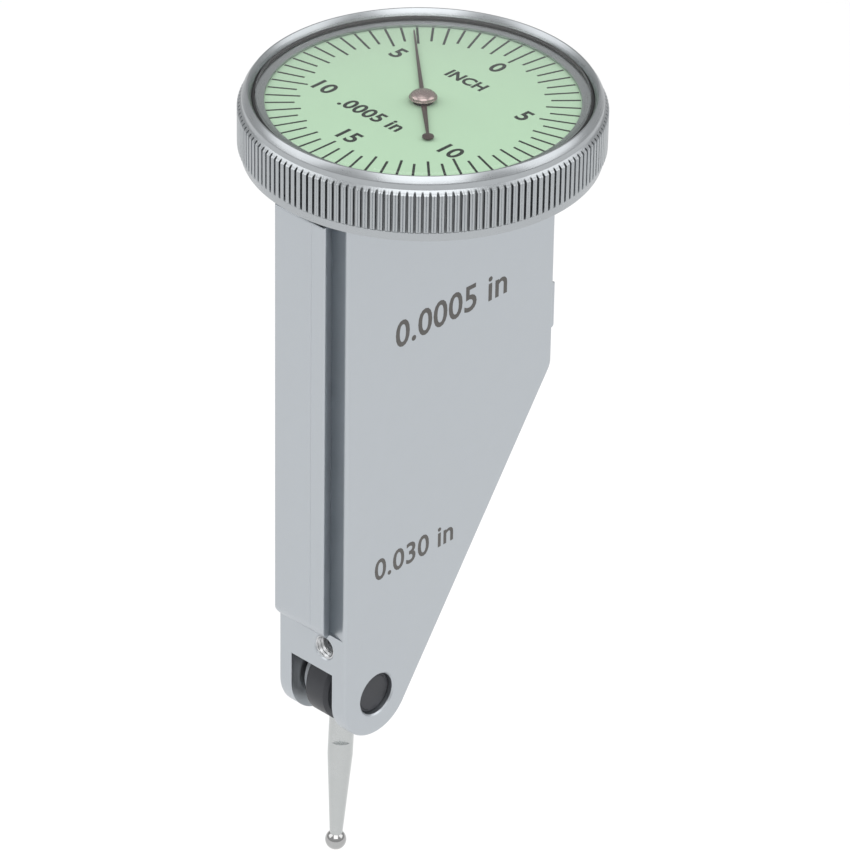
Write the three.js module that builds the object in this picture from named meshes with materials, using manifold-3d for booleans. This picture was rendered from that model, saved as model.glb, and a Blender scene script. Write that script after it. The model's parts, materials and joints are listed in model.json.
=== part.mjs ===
// Lever-type dial test indicator, vertical pattern: a slim dovetailed housing with a round dial head on top,
// a swivelling ball stylus in a fork at the bottom, and a jewelled movement between the two.
// Millimetres, +Z up, +X away from the main dovetail, the pivot axis along Y. Sizes are laid out from the
// dial's centre, then the whole model moves so that the origin is the centre of the main dovetail's face.
import * as THREE from "three";
import { mergeVertices } from "three/addons/utils/BufferGeometryUtils.js";
import Module from "manifold-3d";

const wasm = await Module();
wasm.setup();

// ---- Driving dimensions ----------------------------------------------------------------------------------

const RUNNING_GAP = 0.1; // between the bezel and the head that it turns on
const SEAT_GAP = 0.05; // between pieces that rest on each other
const PIVOT_GAP = 0.02; // radial, round an arbor in its bearing
const EDGE_BREAK = 0.1; // chamfer on turned edges
const FAR = 60; // reach of a cut that runs out of the part

// Bezel
const BEZEL_R = 13.75; // over the knurl
const BEZEL_DROP = 4.19; // from the dial's face down to the bezel's lower edge
const KNURL_TEETH = 154;
const KNURL_DEPTH = 0.26;
const KNURL_TOP = -0.48;
const KNURL_BOTTOM = -3.45;
const KNURL_CHAMFER = 0.28;
const LIP_INSET = 0.27; // the plain lip under the knurl stands this far inside it
const RIM_INSET = 0.5; // the top of the rim, likewise
const RIM_TOP = 1.0;
const RIM_WALL = 0.3;
const RIM_SLANT = 0.3; // the rim's bore narrows by this towards the dial
const SHOULDER_DROP = 0.5; // height of the slanted shoulder round the rim
const DIAL_WINDOW_R = 11.73;
const FLANGE_BOTTOM = 0.05;
const FLANGE_THICKNESS = 0.2;
const SKIRT_WALL = 1.0; // from the knurl's tips to the bezel's bore

// Dial and crystal
const DIAL_THICKNESS = 0.3;
const DIAL_HOLE_R = 0.75;
const CARRIER_HEIGHT = 0.6;
const CARRIER_WIDTH = 1.4;
const CRYSTAL_EDGE = 0.6;
const CRYSTAL_RISE = 0.95;
const CRYSTAL_WALL = 0.5; // at its skirt
const GASKET_WALL = 0.22;
const GASKET_HEIGHT = 0.2;

// Head of the housing
const HEAD_WALL = 1.05;
const FLOOR_THICKNESS = 0.8;
const RING_THICKNESS = 0.3; // snap ring that keeps the bezel on
const RING_WIDTH = 0.7;
const SEAL_RADIUS = 0.23;
const SEAL_DROP = 0.85; // below the top of the head

// Blade of the housing
const BLADE_LEFT = -11.39; // face that carries the main dovetail
const BLADE_RIGHT = 11.05;
const BLADE_THICKNESS = 7.15;
const BLADE_WALL = 1.275; // left on each wide side of the inner space
const SIDE_WALL = 1.6; // left on the narrow sides
const TAPER_TOP = -25.8; // where the right side starts to slant in
const TAPER_RADIUS = 1.6;
const EDGE_CHAMFER = 0.22;

// Dovetails
const RAIL_HEIGHT = 1.5;
const RAIL_WIDTH = 5.4;
const RAIL_TOP = -4.6;
const RAIL_FOOT_RISE = 6.25; // above the pivot
const RAIL_RAMP = 1.9; // length of the rounded ramp at the rail's foot
const RAIL_CHAMFER = 0.2;
const UNDERCUT = Math.PI / 6; // the flanks lean in by 30 degrees from the face's normal
const RELIEF_DEPTH = 0.45; // of the milled relief beside the rail, at the flank's foot
const SEAM_OFFSET = -1.25; // fine line along the rail's face
const SEAM_WIDTH = 0.14;
const SEAM_DEPTH = 0.07;
const STUB_HEIGHT = 1.3;
const STUB_TOP = -19.4;
const STUB_FOOT = -23.6;
const STUB_RAMP = 0.8;

// Fork and pivot
const PIVOT_Z = -47.55;
const FORK_R = 3.55;
const SLOT_WIDTH = 4.4;
const SLOT_RISE = 2.8; // the slot's top over the pivot axis
const EAR_BORE_R = 1.745;
const BEARING_RECESS = 0.4;
const BEARING_CAP = 0.3; // metal over the axle's end
const AXLE_R = 0.8;
const SET_SCREW_R = 0.97;
const SET_SCREW_Y = -1.29;
const SET_SCREW_RISE = 4.93; // above the pivot
const SET_SCREW_RECESS = 0.85;
const SET_SCREW_LENGTH = 0.85;
const SET_SCREW_HEX_R = 0.45;
const SET_SCREW_HEX_DEPTH = 0.5;

// Stylus
const HUB_R = 3.25;
const HUB_WIDTH = 2.4;
const HUB_CHAMFER = 0.3;
const STYLUS_LENGTH = 15.2; // pivot axis to ball centre
const STYLUS_TILT = THREE.MathUtils.degToRad(3);
const STEM_R = 0.99;
const STEM_TIP_R = 0.5;
const STEM_TAPER_START = 7.1;
const SPIGOT_R = 0.55;
const SPIGOT_DEPTH = 1.8;
const BALL_R = 0.836;
const BALL_PIN_R = 0.3; // of the stem's end that the ball is brazed on
const BALL_PIN_LENGTH = 0.4;
const FLAT_START = 4.95; // wrench flats, from the pivot axis
const FLAT_LENGTH = 0.82;
const FLAT_OFFSET = 0.7; // each flat from the stem's axis
const WASHER_THICKNESS = 0.14;
const WASHER_R = 2.2;

// Lever and gears
const CHEEK_THICKNESS = 0.53;
const CHEEK_R = 2.4;
const YOKE_HALF_WIDTH = 1.3;
const YOKE_BLOCK = 1.15; // height of the block over the hub
const ARM_FOOT_WIDTH = 1.7;
const ARM_TOP_WIDTH = 1.3;
const ARM_THICKNESS = 0.55;
const ARM_CLEARANCE = 1.05; // from the arm's middle to the throat's side
const ARM_TAPER = 5; // height over which the arm's foot narrows
const RIVET_R = 0.3;
const RIVET_HEAD = 0.15;
const RIVET_DROPS = [3.6, 1.7]; // of the two rivets below the sector's pitch line
const SECTOR_FOOT = 4.4; // how far the sector plate reaches below its pitch line
const SECTOR_FOOT_WIDTH = 1.6;
const SECTOR_THICKNESS = 0.6;
const GEAR_MODULE = 0.2; // of the crown wheel
const CROWN_Z = -9.652; // crown wheel's axis
const SECTOR_TEETH_ROUND = 375; // teeth that the sector would have as a full wheel
const SECTOR_TEETH = 9;
const ARBOR_PINION_TEETH = 12;
const CROWN_TEETH = 40;
const POINTER_PINION_TEETH = 10;
const ARBOR_R = 0.35;
const POINTER_ARBOR_R = 0.3;
const CROWN_FACE = 0.5; // radial width of the crown teeth
const CROWN_DISC = 0.45;
const CROWN_BOSS_R = 1.1;
const TOOTH_ROOT_SHARE = 0.29; // half of a tooth's root, as a share of the pitch
const TOOTH_TIP_SHARE = 0.1;
const ADDENDUM = 0.9; // in modules
const DEDENDUM = 1.25;

// Movement
const PLATE_R = 9.6;
const PLATE_THICKNESS = 0.5;
const BRIDGE_THICKNESS = 0.5;
const BRIDGE_TOP = -0.8;
const BRIDGE_LENGTH = 15;
const BRIDGE_WIDTH = 4.2;
const PILLAR_R = 1.0;
const SCREW_R = 0.45;
const SCREW_HEAD_R = 0.85;
const SCREW_HEAD = 0.3;
const SCREW_SLOT = 0.22;
const JEWEL_R = 0.7;
const BRACKET_WALL = 0.4;
const BRACKET_HALF_WIDTH = 1.7;
const JEWEL_BAR_DROP = 1.1; // below the crown wheel's top
const JEWEL_BAR_THICKNESS = 0.7;
const JEWEL_BAR_HALF_WIDTH = 1.1;
const HAIRSPRING_TURNS = 3;
const HAIRSPRING_R = 3.4;
const HAIRSPRING_BAND = 0.25;
const HAIRSPRING_THICKNESS = 0.09;
const COLLET_R = 0.75;
const COLLET_HEIGHT = 0.6;
const STUD_R = 0.4;

// Return spring, a coil on a pin beside the lever's arm
const SPRING_X = 3.4;
const SPRING_Z = -24;
const SPRING_Y = -1.2;
const SPRING_COIL_R = 0.95;
const SPRING_WIRE_R = 0.11;
const SPRING_TURNS = 3;
const SPRING_PITCH = 0.36;
const SPRING_FREE_LEG = 8.6; // its height over the coil
const SPRING_FREE_REACH = 2.35; // how far it leans towards the arm
const SPRING_FIXED_LEG = 7;
const SPRING_PIN_R = 0.65;

// Pointer
const POINTER_TIP_R = 11.0;
const POINTER_TAIL_R = 5.7;
const POINTER_TAIL_DISC_R = 0.44;
const POINTER_LIFT = 0.14;
const POINTER_THICKNESS = 0.12;
const POINTER_HUB_R = 0.72;
const POINTER_ROOT_WIDTH = 0.34;
const POINTER_TIP_WIDTH = 0.1;
const TAIL_ROOT_WIDTH = 0.38;
const TAIL_TIP_WIDTH = 0.22;
const POINTER_ANGLE = THREE.MathUtils.degToRad(47.7);
const CAP_R = 1.06;
const CAP_RISE = 0.6;
const CAP_SOCKET_DEPTH = 0.37;

// ---- Sizes worked out from them --------------------------------------------------------------------------

const bezelBore = BEZEL_R - SKIRT_WALL;
const headR = bezelBore - RUNNING_GAP;
const dialBottom = -DIAL_THICKNESS;
const carrierTop = dialBottom - SEAT_GAP;
const carrierBottom = carrierTop - CARRIER_HEIGHT;
const headTop = carrierBottom - RUNNING_GAP;
const headBottom = -(BEZEL_DROP - 0.09);
const floorTop = headBottom + FLOOR_THICKNESS;
const dishR = headR - HEAD_WALL;
const ringZ = floorTop + 0.15; // middle of the snap ring
const ringGroove = RING_THICKNESS / 2 + SEAT_GAP;
const ringInner = bezelBore - RING_WIDTH / 2 - SEAT_GAP;
const flangeTop = FLANGE_BOTTOM + FLANGE_THICKNESS;
const rimR = BEZEL_R - RIM_INSET;
const rimBore = rimR - RIM_WALL;
const rimFootBore = rimBore - RIM_SLANT;
const crystalBottom = flangeTop + SEAT_GAP;
const crystalR = rimFootBore - GASKET_WALL - 2 * PIVOT_GAP;

const halfBlade = BLADE_THICKNESS / 2;
const halfSpace = halfBlade - BLADE_WALL;
const halfSlot = SLOT_WIDTH / 2;
const pivotX = BLADE_LEFT + FORK_R;
const railFace = BLADE_LEFT - RAIL_HEIGHT;
const railFoot = PIVOT_Z + RAIL_FOOT_RISE;
const setScrewZ = PIVOT_Z + SET_SCREW_RISE;
const slotTop = PIVOT_Z + SLOT_RISE;

const hubHalf = HUB_WIDTH / 2;
const washerInner = hubHalf + SEAT_GAP / 2;
const cheekInner = washerInner + WASHER_THICKNESS + SEAT_GAP / 2;
const cheekOuter = cheekInner + CHEEK_THICKNESS;
const yokeBottom = HUB_R + 0.25;

// The lever's gears fill the distance from the pivot to the crown wheel's arbor.
const gearCentres = Math.hypot(pivotX, CROWN_Z - PIVOT_Z);
const sectorModule = (2 * gearCentres) / (SECTOR_TEETH_ROUND + ARBOR_PINION_TEETH);
const sectorR = (sectorModule * SECTOR_TEETH_ROUND) / 2;
const sectorLean = Math.asin(-pivotX / gearCentres); // the lever leans over to reach the dial's axis
const crownR = (GEAR_MODULE * CROWN_TEETH) / 2;
const pointerPinionR = (GEAR_MODULE * POINTER_PINION_TEETH) / 2;
const crownTop = CROWN_Z + crownR + CROWN_FACE / 2;
const sectorY = 0.2; // sector plate, from the housing's middle plane
const armY = sectorY - SEAT_GAP - ARM_THICKNESS;

const plateBottom = floorTop + SEAT_GAP;
const plateTop = plateBottom + PLATE_THICKNESS;
const bracketTop = plateBottom - SEAT_GAP;
const bridgeBottom = BRIDGE_TOP - BRIDGE_THICKNESS;
const bracketOuter = halfSpace - SEAT_GAP;
const bracketInner = bracketOuter - BRACKET_WALL;
const jewelBarTop = crownTop - JEWEL_BAR_DROP;
const jewelBarBottom = jewelBarTop - JEWEL_BAR_THICKNESS;
const hairspringZ = (plateTop + bridgeBottom) / 2;
const capBase = POINTER_LIFT + POINTER_THICKNESS + PIVOT_GAP;
const rivetHeights = RIVET_DROPS.map((drop) => sectorR - drop);

// ---- Solids ----------------------------------------------------------------------------------------------

function solidOf(geometry) {
  const bare = new THREE.BufferGeometry();
  bare.setAttribute("position", geometry.getAttribute("position"));
  if (geometry.index) bare.setIndex(geometry.index);
  const merged = mergeVertices(bare, 1e-4);
  const corners = merged.index.array;
  const kept = [];
  for (let i = 0; i < corners.length; i += 3) {
    const [a, b, c] = [corners[i], corners[i + 1], corners[i + 2]];
    if (a !== b && b !== c && a !== c) kept.push(a, b, c);
  }
  return new wasm.Manifold(
    new wasm.Mesh({
      numProp: 3,
      vertProperties: new Float32Array(merged.attributes.position.array),
      triVerts: new Uint32Array(kept),
    }),
  );
}

function geometryOf(solid) {
  const mesh = solid.getMesh();
  const positions = new Float32Array(mesh.numVert * 3);
  for (let i = 0; i < mesh.numVert; i++) {
    const start = i * mesh.numProp;
    positions.set(mesh.vertProperties.subarray(start, start + 3), i * 3);
  }
  const indexed = new THREE.BufferGeometry();
  indexed.setAttribute("position", new THREE.BufferAttribute(positions, 3));
  indexed.setIndex(new THREE.BufferAttribute(mesh.triVerts, 1));
  const faceted = indexed.toNonIndexed();
  faceted.computeVertexNormals();
  return faceted;
}

const joined = (first, ...rest) => rest.reduce((sum, next) => sum.add(next), first);
const cut = (first, ...rest) => rest.reduce((left, next) => left.subtract(next), first);

function box(x0, x1, y0, y1, z0, z1) {
  const geometry = new THREE.BoxGeometry(x1 - x0, y1 - y0, z1 - z0);
  return solidOf(geometry.translate((x0 + x1) / 2, (y0 + y1) / 2, (z0 + z1) / 2));
}

// Turned about the Z axis from [radius, height] pairs, in either winding; it closes itself unless both ends
// lie on the axis.
function turned(pairs, segments = 28) {
  const points = pairs.map(([r, z]) => new THREE.Vector2(r, z));
  if (THREE.ShapeUtils.area(points) < 0) points.reverse();
  const onAxis = points[0].x === 0 && points[points.length - 1].x === 0;
  if (!onAxis) points.push(points[0].clone());
  return solidOf(new THREE.LatheGeometry(points, segments).rotateX(Math.PI / 2));
}

const rod = (r, z0, z1, segments = 20) => turned([[0, z0], [r, z0], [r, z1], [0, z1]], segments);

// A tube about Z, or a washer where it is short.
function tube(inner, outer, z0, z1, segments = 24) {
  return turned([[inner, z0], [outer, z0], [outer, z1], [inner, z1]], segments);
}

// The same solid laid down, so that what ran up Z runs along Y, at a place in the XZ plane.
function alongY(solid, x = 0, z = 0) {
  const laid = geometryOf(solid).rotateX(-Math.PI / 2);
  return solidOf(laid.translate(x, 0, z));
}

// An outline in the XY plane, extruded up Z.
function extrudedUp(outline, z0, z1, chamfer = 0) {
  const geometry = new THREE.ExtrudeGeometry(outline, {
    depth: z1 - z0 - 2 * chamfer,
    bevelEnabled: chamfer > 0,
    bevelThickness: chamfer,
    bevelSize: chamfer,
    bevelOffset: -chamfer,
    bevelSegments: 1,
    curveSegments: 20,
  });
  return solidOf(geometry.translate(0, 0, z0 + chamfer));
}

// An outline in the XZ plane, extruded along Y.
function extrudedAcross(outline, y0, y1, chamfer = 0) {
  const geometry = geometryOf(extrudedUp(outline, -y1, -y0, chamfer));
  return solidOf(geometry.rotateX(Math.PI / 2));
}

const outlineOf = (pairs) => new THREE.Shape(pairs.map(([x, y]) => new THREE.Vector2(x, y)));

// Points on an arc, from one angle to another, ends included.
function arc(cx, cy, r, from, to, steps) {
  return Array.from({ length: steps + 1 }, (_, i) => {
    const angle = from + ((to - from) * i) / steps;
    return [cx + r * Math.cos(angle), cy + r * Math.sin(angle)];
  });
}

// The flanks of one tooth centred on an angle, as [radius, angle] pairs in turning order.
function toothFlanks(centre, pitchAngle, root, tip) {
  return [
    [root, centre - TOOTH_ROOT_SHARE * pitchAngle],
    [tip, centre - TOOTH_TIP_SHARE * pitchAngle],
    [tip, centre + TOOTH_TIP_SHARE * pitchAngle],
    [root, centre + TOOTH_ROOT_SHARE * pitchAngle],
  ];
}

const polar = ([r, angle]) => [r * Math.cos(angle), r * Math.sin(angle)];

// A spur gear's outline. A tooth, or a gap, points along the given angle.
function gearOutline(teeth, { module, phase, toothThere }) {
  const pitchR = (module * teeth) / 2;
  const step = (2 * Math.PI) / teeth;
  const first = phase + (toothThere ? 0 : step / 2);
  const root = pitchR - DEDENDUM * module;
  const tip = pitchR + ADDENDUM * module;
  const points = [];
  for (let i = 0; i < teeth; i++) points.push(...toothFlanks(first + i * step, step, root, tip));
  return outlineOf(points.map(polar));
}

function placed(solid, x, y, z) {
  return solidOf(geometryOf(solid).translate(x, y, z));
}

// ---- Housing ---------------------------------------------------------------------------------------------

// The slanted side runs from the taper corner to the fork's round end, which it touches.
function slant() {
  const dx = BLADE_RIGHT - pivotX;
  const dz = TAPER_TOP - PIVOT_Z;
  const toCorner = Math.atan2(dz, dx);
  const touch = toCorner - Math.acos(FORK_R / Math.hypot(dx, dz));
  const at = [pivotX + FORK_R * Math.cos(touch), PIVOT_Z + FORK_R * Math.sin(touch)];
  return { touch, at, rise: Math.atan2(TAPER_TOP - at[1], BLADE_RIGHT - at[0]) };
}

function bladeOutline() {
  const { touch, rise } = slant();
  const top = headBottom + FLOOR_THICKNESS / 2;
  const turn = Math.PI / 2 - rise; // how far the side bends at the taper corner
  const tangent = TAPER_RADIUS * Math.tan(turn / 2);
  const corner = arc(BLADE_RIGHT - TAPER_RADIUS, TAPER_TOP + tangent, TAPER_RADIUS, 0, -turn, 5);
  const forkEnd = arc(pivotX, PIVOT_Z, FORK_R, touch, -Math.PI, 28);
  return outlineOf([[BLADE_LEFT, top], ...forkEnd.reverse(), ...corner.reverse(), [BLADE_RIGHT, top]]);
}

// The space for the lever: the blade's outline drawn in by the wall, open to the head above.
function leverSpace() {
  const { rise } = slant();
  const left = BLADE_LEFT + SIDE_WALL;
  const right = BLADE_RIGHT - SIDE_WALL;
  const bottom = PIVOT_Z + HUB_R + 0.9;
  const slantAt = (z) => BLADE_RIGHT + (z - TAPER_TOP) / Math.tan(rise) - SIDE_WALL / Math.sin(rise);
  const kneeZ = TAPER_TOP + (right - slantAt(TAPER_TOP)) * Math.tan(rise);
  return outlineOf([
    [left, floorTop + 0.5],
    [left, bottom],
    [slantAt(bottom), bottom],
    [right, kneeZ],
    [right, floorTop + 0.5],
  ]);
}

function forkCuts() {
  const space = HUB_R + 0.4;
  const throat = YOKE_HALF_WIDTH + 0.5;
  const throatHeight = HUB_R + 1.2;
  const leanward = throatHeight * Math.tan(sectorLean) + ARM_CLEARANCE; // on the side that the arm leans to
  return [
    box(-FAR, FAR, -halfSlot, halfSlot, -2 * FAR, slotTop),
    alongY(rod(space, -halfSlot, halfSlot, 48), pivotX, PIVOT_Z),
    box(pivotX - throat, pivotX + leanward, -halfSlot, halfSlot, PIVOT_Z, PIVOT_Z + throatHeight),
    alongY(rod(EAR_BORE_R, -FAR, FAR, 40), pivotX, PIVOT_Z),
  ];
}

// A dovetail that stands out of the plane x = 0 towards -X, its face up to its top, its foot a round ramp.
function dovetail(height, top, foot, ramp) {
  const half = RAIL_WIDTH / 2;
  const depth = RELIEF_DEPTH + 0.3; // it reaches into the blade, past the relief
  const rootHalf = half - (height + depth) * Math.tan(UNDERCUT);
  const section = outlineOf([
    [-height, half - RAIL_CHAMFER],
    [-height, RAIL_CHAMFER - half],
    [RAIL_CHAMFER - height, -half],
    [depth, -rootHalf],
    [depth, rootHalf],
    [RAIL_CHAMFER - height, half],
  ]);
  const rampArc = arc(height - ramp, foot + ramp, ramp, -Math.PI / 2, 0, 8);
  const side = outlineOf([
    [depth, top],
    [RAIL_CHAMFER - height, top],
    [-height, top - RAIL_CHAMFER],
    ...rampArc.map(([x, z]) => [-x, z]).reverse(),
    [depth, foot],
  ]);
  return extrudedUp(section, foot, top).intersect(extrudedAcross(side, -FAR, FAR));
}

// The milled relief beside the rail's flanks: deepest at their feet and nothing at the blade's edges.
function railRelief() {
  const edge = halfBlade - EDGE_CHAMFER;
  const section = outlineOf([
    [BLADE_LEFT - 0.5, -edge],
    [BLADE_LEFT, -edge],
    [BLADE_LEFT + RELIEF_DEPTH, -0.5],
    [BLADE_LEFT + RELIEF_DEPTH, 0.5],
    [BLADE_LEFT, edge],
    [BLADE_LEFT - 0.5, edge],
  ]);
  const runOut = arc(BLADE_LEFT - 0.5, railFoot + 2.3, 2.2, -Math.PI / 2, 0, 8);
  const side = outlineOf([[BLADE_LEFT - 0.5, headBottom], ...runOut, [BLADE_LEFT + 1.7, headBottom]]);
  return extrudedUp(section, railFoot, headBottom).intersect(extrudedAcross(side, -FAR, FAR));
}

function railSeam() {
  const section = outlineOf([
    [railFace - 0.1, SEAM_OFFSET - SEAM_WIDTH / 2],
    [railFace + SEAM_DEPTH, SEAM_OFFSET],
    [railFace - 0.1, SEAM_OFFSET + SEAM_WIDTH / 2],
  ]);
  return extrudedUp(section, railFoot, RAIL_TOP);
}

function head() {
  const sealTop = headTop - SEAL_DROP + SEAL_RADIUS + SEAT_GAP;
  const sealBottom = headTop - SEAL_DROP - SEAL_RADIUS - SEAT_GAP;
  const sealFloor = bezelBore - 2 * SEAL_RADIUS - SEAT_GAP;
  const ringFloor = ringInner - SEAT_GAP;
  return turned(
    [
      [0, headBottom],
      [headR - 0.3, headBottom],
      [headR, headBottom + 0.3],
      [headR, ringZ - ringGroove],
      [ringFloor, ringZ - ringGroove],
      [ringFloor, ringZ + ringGroove],
      [headR, ringZ + ringGroove],
      [headR, sealBottom],
      [sealFloor, sealBottom],
      [sealFloor, sealTop],
      [headR, sealTop],
      [headR, headTop],
      [dishR, headTop],
      [dishR, floorTop],
      [0, floorTop],
    ],
    64,
  );
}

// Three screws hold the movement's plate to the head's floor.
const plateScrewPlaces = [90, 215, 325].map((degrees) =>
  polar([PLATE_R - 1.7, THREE.MathUtils.degToRad(degrees)]),
);

function housing() {
  const stub = geometryOf(dovetail(STUB_HEIGHT, STUB_TOP, STUB_FOOT, STUB_RAMP)).rotateZ(Math.PI);
  const blade = extrudedAcross(bladeOutline(), -halfBlade, halfBlade, EDGE_CHAMFER);
  const body = joined(
    cut(blade, railRelief()),
    head(),
    placed(dovetail(RAIL_HEIGHT, RAIL_TOP, railFoot, RAIL_RAMP), BLADE_LEFT, 0, 0),
    solidOf(stub.translate(BLADE_RIGHT, 0, 0)),
  );
  const screwHole = geometryOf(rod(SET_SCREW_R, -SIDE_WALL - 2, 2)).rotateY(Math.PI / 2);
  return cut(
    body,
    railSeam(),
    extrudedAcross(leverSpace(), -halfSpace, halfSpace),
    ...forkCuts(),
    solidOf(screwHole.translate(BLADE_LEFT, SET_SCREW_Y, setScrewZ)),
    ...plateScrewPlaces.map(([x, y]) => placed(rod(SCREW_R + SEAT_GAP, -FAR, FAR, 16), x, y, 0)),
  );
}

function setScrew() {
  const hex = outlineOf(arc(0, 0, SET_SCREW_HEX_R, 0, 2 * Math.PI, 6).slice(0, 6));
  const r = SET_SCREW_R - SEAT_GAP;
  const body = turned([
    [0, 0],
    [r - EDGE_BREAK, 0],
    [r, EDGE_BREAK],
    [r, SET_SCREW_LENGTH - EDGE_BREAK],
    [r - 2 * EDGE_BREAK, SET_SCREW_LENGTH],
    [0, SET_SCREW_LENGTH],
  ]);
  const screw = geometryOf(cut(body, extrudedUp(hex, -1, SET_SCREW_HEX_DEPTH))).rotateY(Math.PI / 2);
  return solidOf(screw.translate(BLADE_LEFT + SET_SCREW_RECESS, SET_SCREW_Y, setScrewZ));
}

// ---- Bezel, dial and crystal -----------------------------------------------------------------------------

function knurledBand() {
  const root = BEZEL_R - KNURL_DEPTH;
  const step = Math.PI / KNURL_TEETH;
  const points = Array.from({ length: 2 * KNURL_TEETH }, (_, i) =>
    polar([i % 2 ? root : BEZEL_R, i * step]),
  );
  return extrudedUp(outlineOf(points), KNURL_BOTTOM, KNURL_TOP);
}

function bezel() {
  const lipR = BEZEL_R - LIP_INSET;
  const ringRoof = ringInner + RING_WIDTH + SEAT_GAP;
  const shoulder = KNURL_TOP + KNURL_CHAMFER;
  const coreR = BEZEL_R - KNURL_DEPTH - SEAT_GAP; // plain metal under the knurl
  const wallR = BEZEL_R - KNURL_CHAMFER - SEAT_GAP; // between the shoulder and the knurl
  const bore = [
    [bezelBore, -BEZEL_DROP],
    [bezelBore, ringZ - ringGroove],
    [ringRoof, ringZ - ringGroove],
    [ringRoof, ringZ + ringGroove],
    [bezelBore, ringZ + ringGroove],
    [bezelBore, FLANGE_BOTTOM],
    [DIAL_WINDOW_R, FLANGE_BOTTOM],
    [DIAL_WINDOW_R, flangeTop],
    [rimFootBore, flangeTop],
    [rimFootBore, flangeTop + SEAT_GAP + GASKET_HEIGHT],
    [rimBore, RIM_TOP - EDGE_BREAK],
    [rimBore + EDGE_BREAK / 2, RIM_TOP],
  ];
  const outside = [
    [rimBore + RIM_WALL / 3, RIM_TOP],
    [wallR, RIM_TOP - SHOULDER_DROP],
    [wallR, shoulder],
    [BEZEL_R - EDGE_BREAK, KNURL_TOP - SEAT_GAP],
    [coreR, KNURL_TOP - SEAT_GAP],
    [coreR, KNURL_BOTTOM],
    [lipR, KNURL_BOTTOM],
    [lipR, EDGE_BREAK - BEZEL_DROP],
    [lipR - EDGE_BREAK, -BEZEL_DROP],
  ];
  const hole = rod(coreR - EDGE_BREAK, -FAR, FAR, 48);
  return joined(turned([...bore, ...outside], 48), cut(knurledBand(), hole));
}

function crystal() {
  const edgeTop = crystalBottom + CRYSTAL_EDGE;
  const innerR = crystalR - CRYSTAL_WALL;
  const dome = (r, rise, base, steps) =>
    Array.from({ length: steps + 1 }, (_, i) => {
      const at = (r * i) / steps;
      return [at, base + rise * (1 - (at / r) ** 2)];
    });
  return turned(
    [
      ...dome(crystalR - EDGE_BREAK, CRYSTAL_RISE, edgeTop, 5),
      [crystalR, edgeTop - EDGE_BREAK],
      [crystalR, crystalBottom],
      ...dome(innerR, CRYSTAL_RISE, crystalBottom, 5).reverse(),
    ],
    48,
  );
}

function dial() {
  return tube(DIAL_HOLE_R, bezelBore - SEAT_GAP, dialBottom, 0, 48);
}

function crystalGasket() {
  const top = crystalBottom + GASKET_HEIGHT;
  return tube(crystalR + PIVOT_GAP, rimFootBore - PIVOT_GAP, crystalBottom, top, 48);
}

function dialCarrier() {
  const outer = bezelBore - SEAT_GAP;
  return tube(outer - CARRIER_WIDTH, outer, carrierBottom, carrierTop, 48);
}

function sealingRing() {
  const centre = bezelBore - SEAL_RADIUS - SEAT_GAP / 2;
  const section = arc(centre, headTop - SEAL_DROP, SEAL_RADIUS - PIVOT_GAP, 0, 2 * Math.PI, 6);
  return turned(section.slice(0, 6), 36);
}

// Split at one side so that it can be sprung into its groove.
function snapRing() {
  const z0 = ringZ - RING_THICKNESS / 2;
  const ring = tube(ringInner, ringInner + RING_WIDTH, z0, z0 + RING_THICKNESS, 48);
  return cut(ring, box(0, FAR, -0.8, 0.8, z0 - 1, z0 + 1));
}

// ---- Stylus ----------------------------------------------------------------------------------------------

// Stylus pieces are built hanging down from the pivot axis, then tilted and moved to it.
function hung(solid) {
  return solidOf(geometryOf(solid).rotateY(STYLUS_TILT).translate(pivotX, 0, PIVOT_Z));
}

function stylusHub() {
  const disc = alongY(
    turned([
      [AXLE_R + PIVOT_GAP, -hubHalf],
      [HUB_R - HUB_CHAMFER, -hubHalf],
      [HUB_R, HUB_CHAMFER - hubHalf],
      [HUB_R, hubHalf - HUB_CHAMFER],
      [HUB_R - HUB_CHAMFER, hubHalf],
      [AXLE_R + PIVOT_GAP, hubHalf],
    ]),
  );
  return hung(cut(disc, rod(SPIGOT_R + SEAT_GAP, -HUB_R - 1, -HUB_R + SPIGOT_DEPTH + SEAT_GAP)));
}

function stylusStem() {
  const shoulder = -HUB_R - RUNNING_GAP;
  const ballTop = -STYLUS_LENGTH + Math.sqrt(BALL_R ** 2 - STEM_TIP_R ** 2);
  const stem = turned([
    [0, -HUB_R + SPIGOT_DEPTH],
    [SPIGOT_R - EDGE_BREAK, -HUB_R + SPIGOT_DEPTH],
    [SPIGOT_R, -HUB_R + SPIGOT_DEPTH - EDGE_BREAK],
    [SPIGOT_R, shoulder],
    [STEM_R - EDGE_BREAK, shoulder],
    [STEM_R, shoulder - EDGE_BREAK],
    [STEM_R, -STEM_TAPER_START],
    [STEM_TIP_R, ballTop + SEAT_GAP],
    [BALL_PIN_R, ballTop + SEAT_GAP],
    [BALL_PIN_R, ballTop - BALL_PIN_LENGTH],
    [0, ballTop - BALL_PIN_LENGTH],
  ]);
  const beside = (y0, y1) => box(-2, 2, y0, y1, -FLAT_START - FLAT_LENGTH, -FLAT_START);
  const flats = joined(beside(-2, -FLAT_OFFSET), beside(FLAT_OFFSET, 2));
  return hung(cut(stem, solidOf(geometryOf(flats).rotateZ(-Math.PI / 4))));
}

function ballTip() {
  const top = Math.asin(STEM_TIP_R / BALL_R);
  const surface = arc(0, -STYLUS_LENGTH, BALL_R, -Math.PI / 2, Math.PI / 2 - top, 9);
  surface[0][0] = 0;
  const mouth = surface[surface.length - 1][1];
  const socket = BALL_PIN_R + PIVOT_GAP;
  const socketFloor = mouth - BALL_PIN_LENGTH - SEAT_GAP;
  return hung(turned([...surface, [socket, mouth], [socket, socketFloor], [0, socketFloor]], 24));
}

// ---- Lever -----------------------------------------------------------------------------------------------

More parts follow.
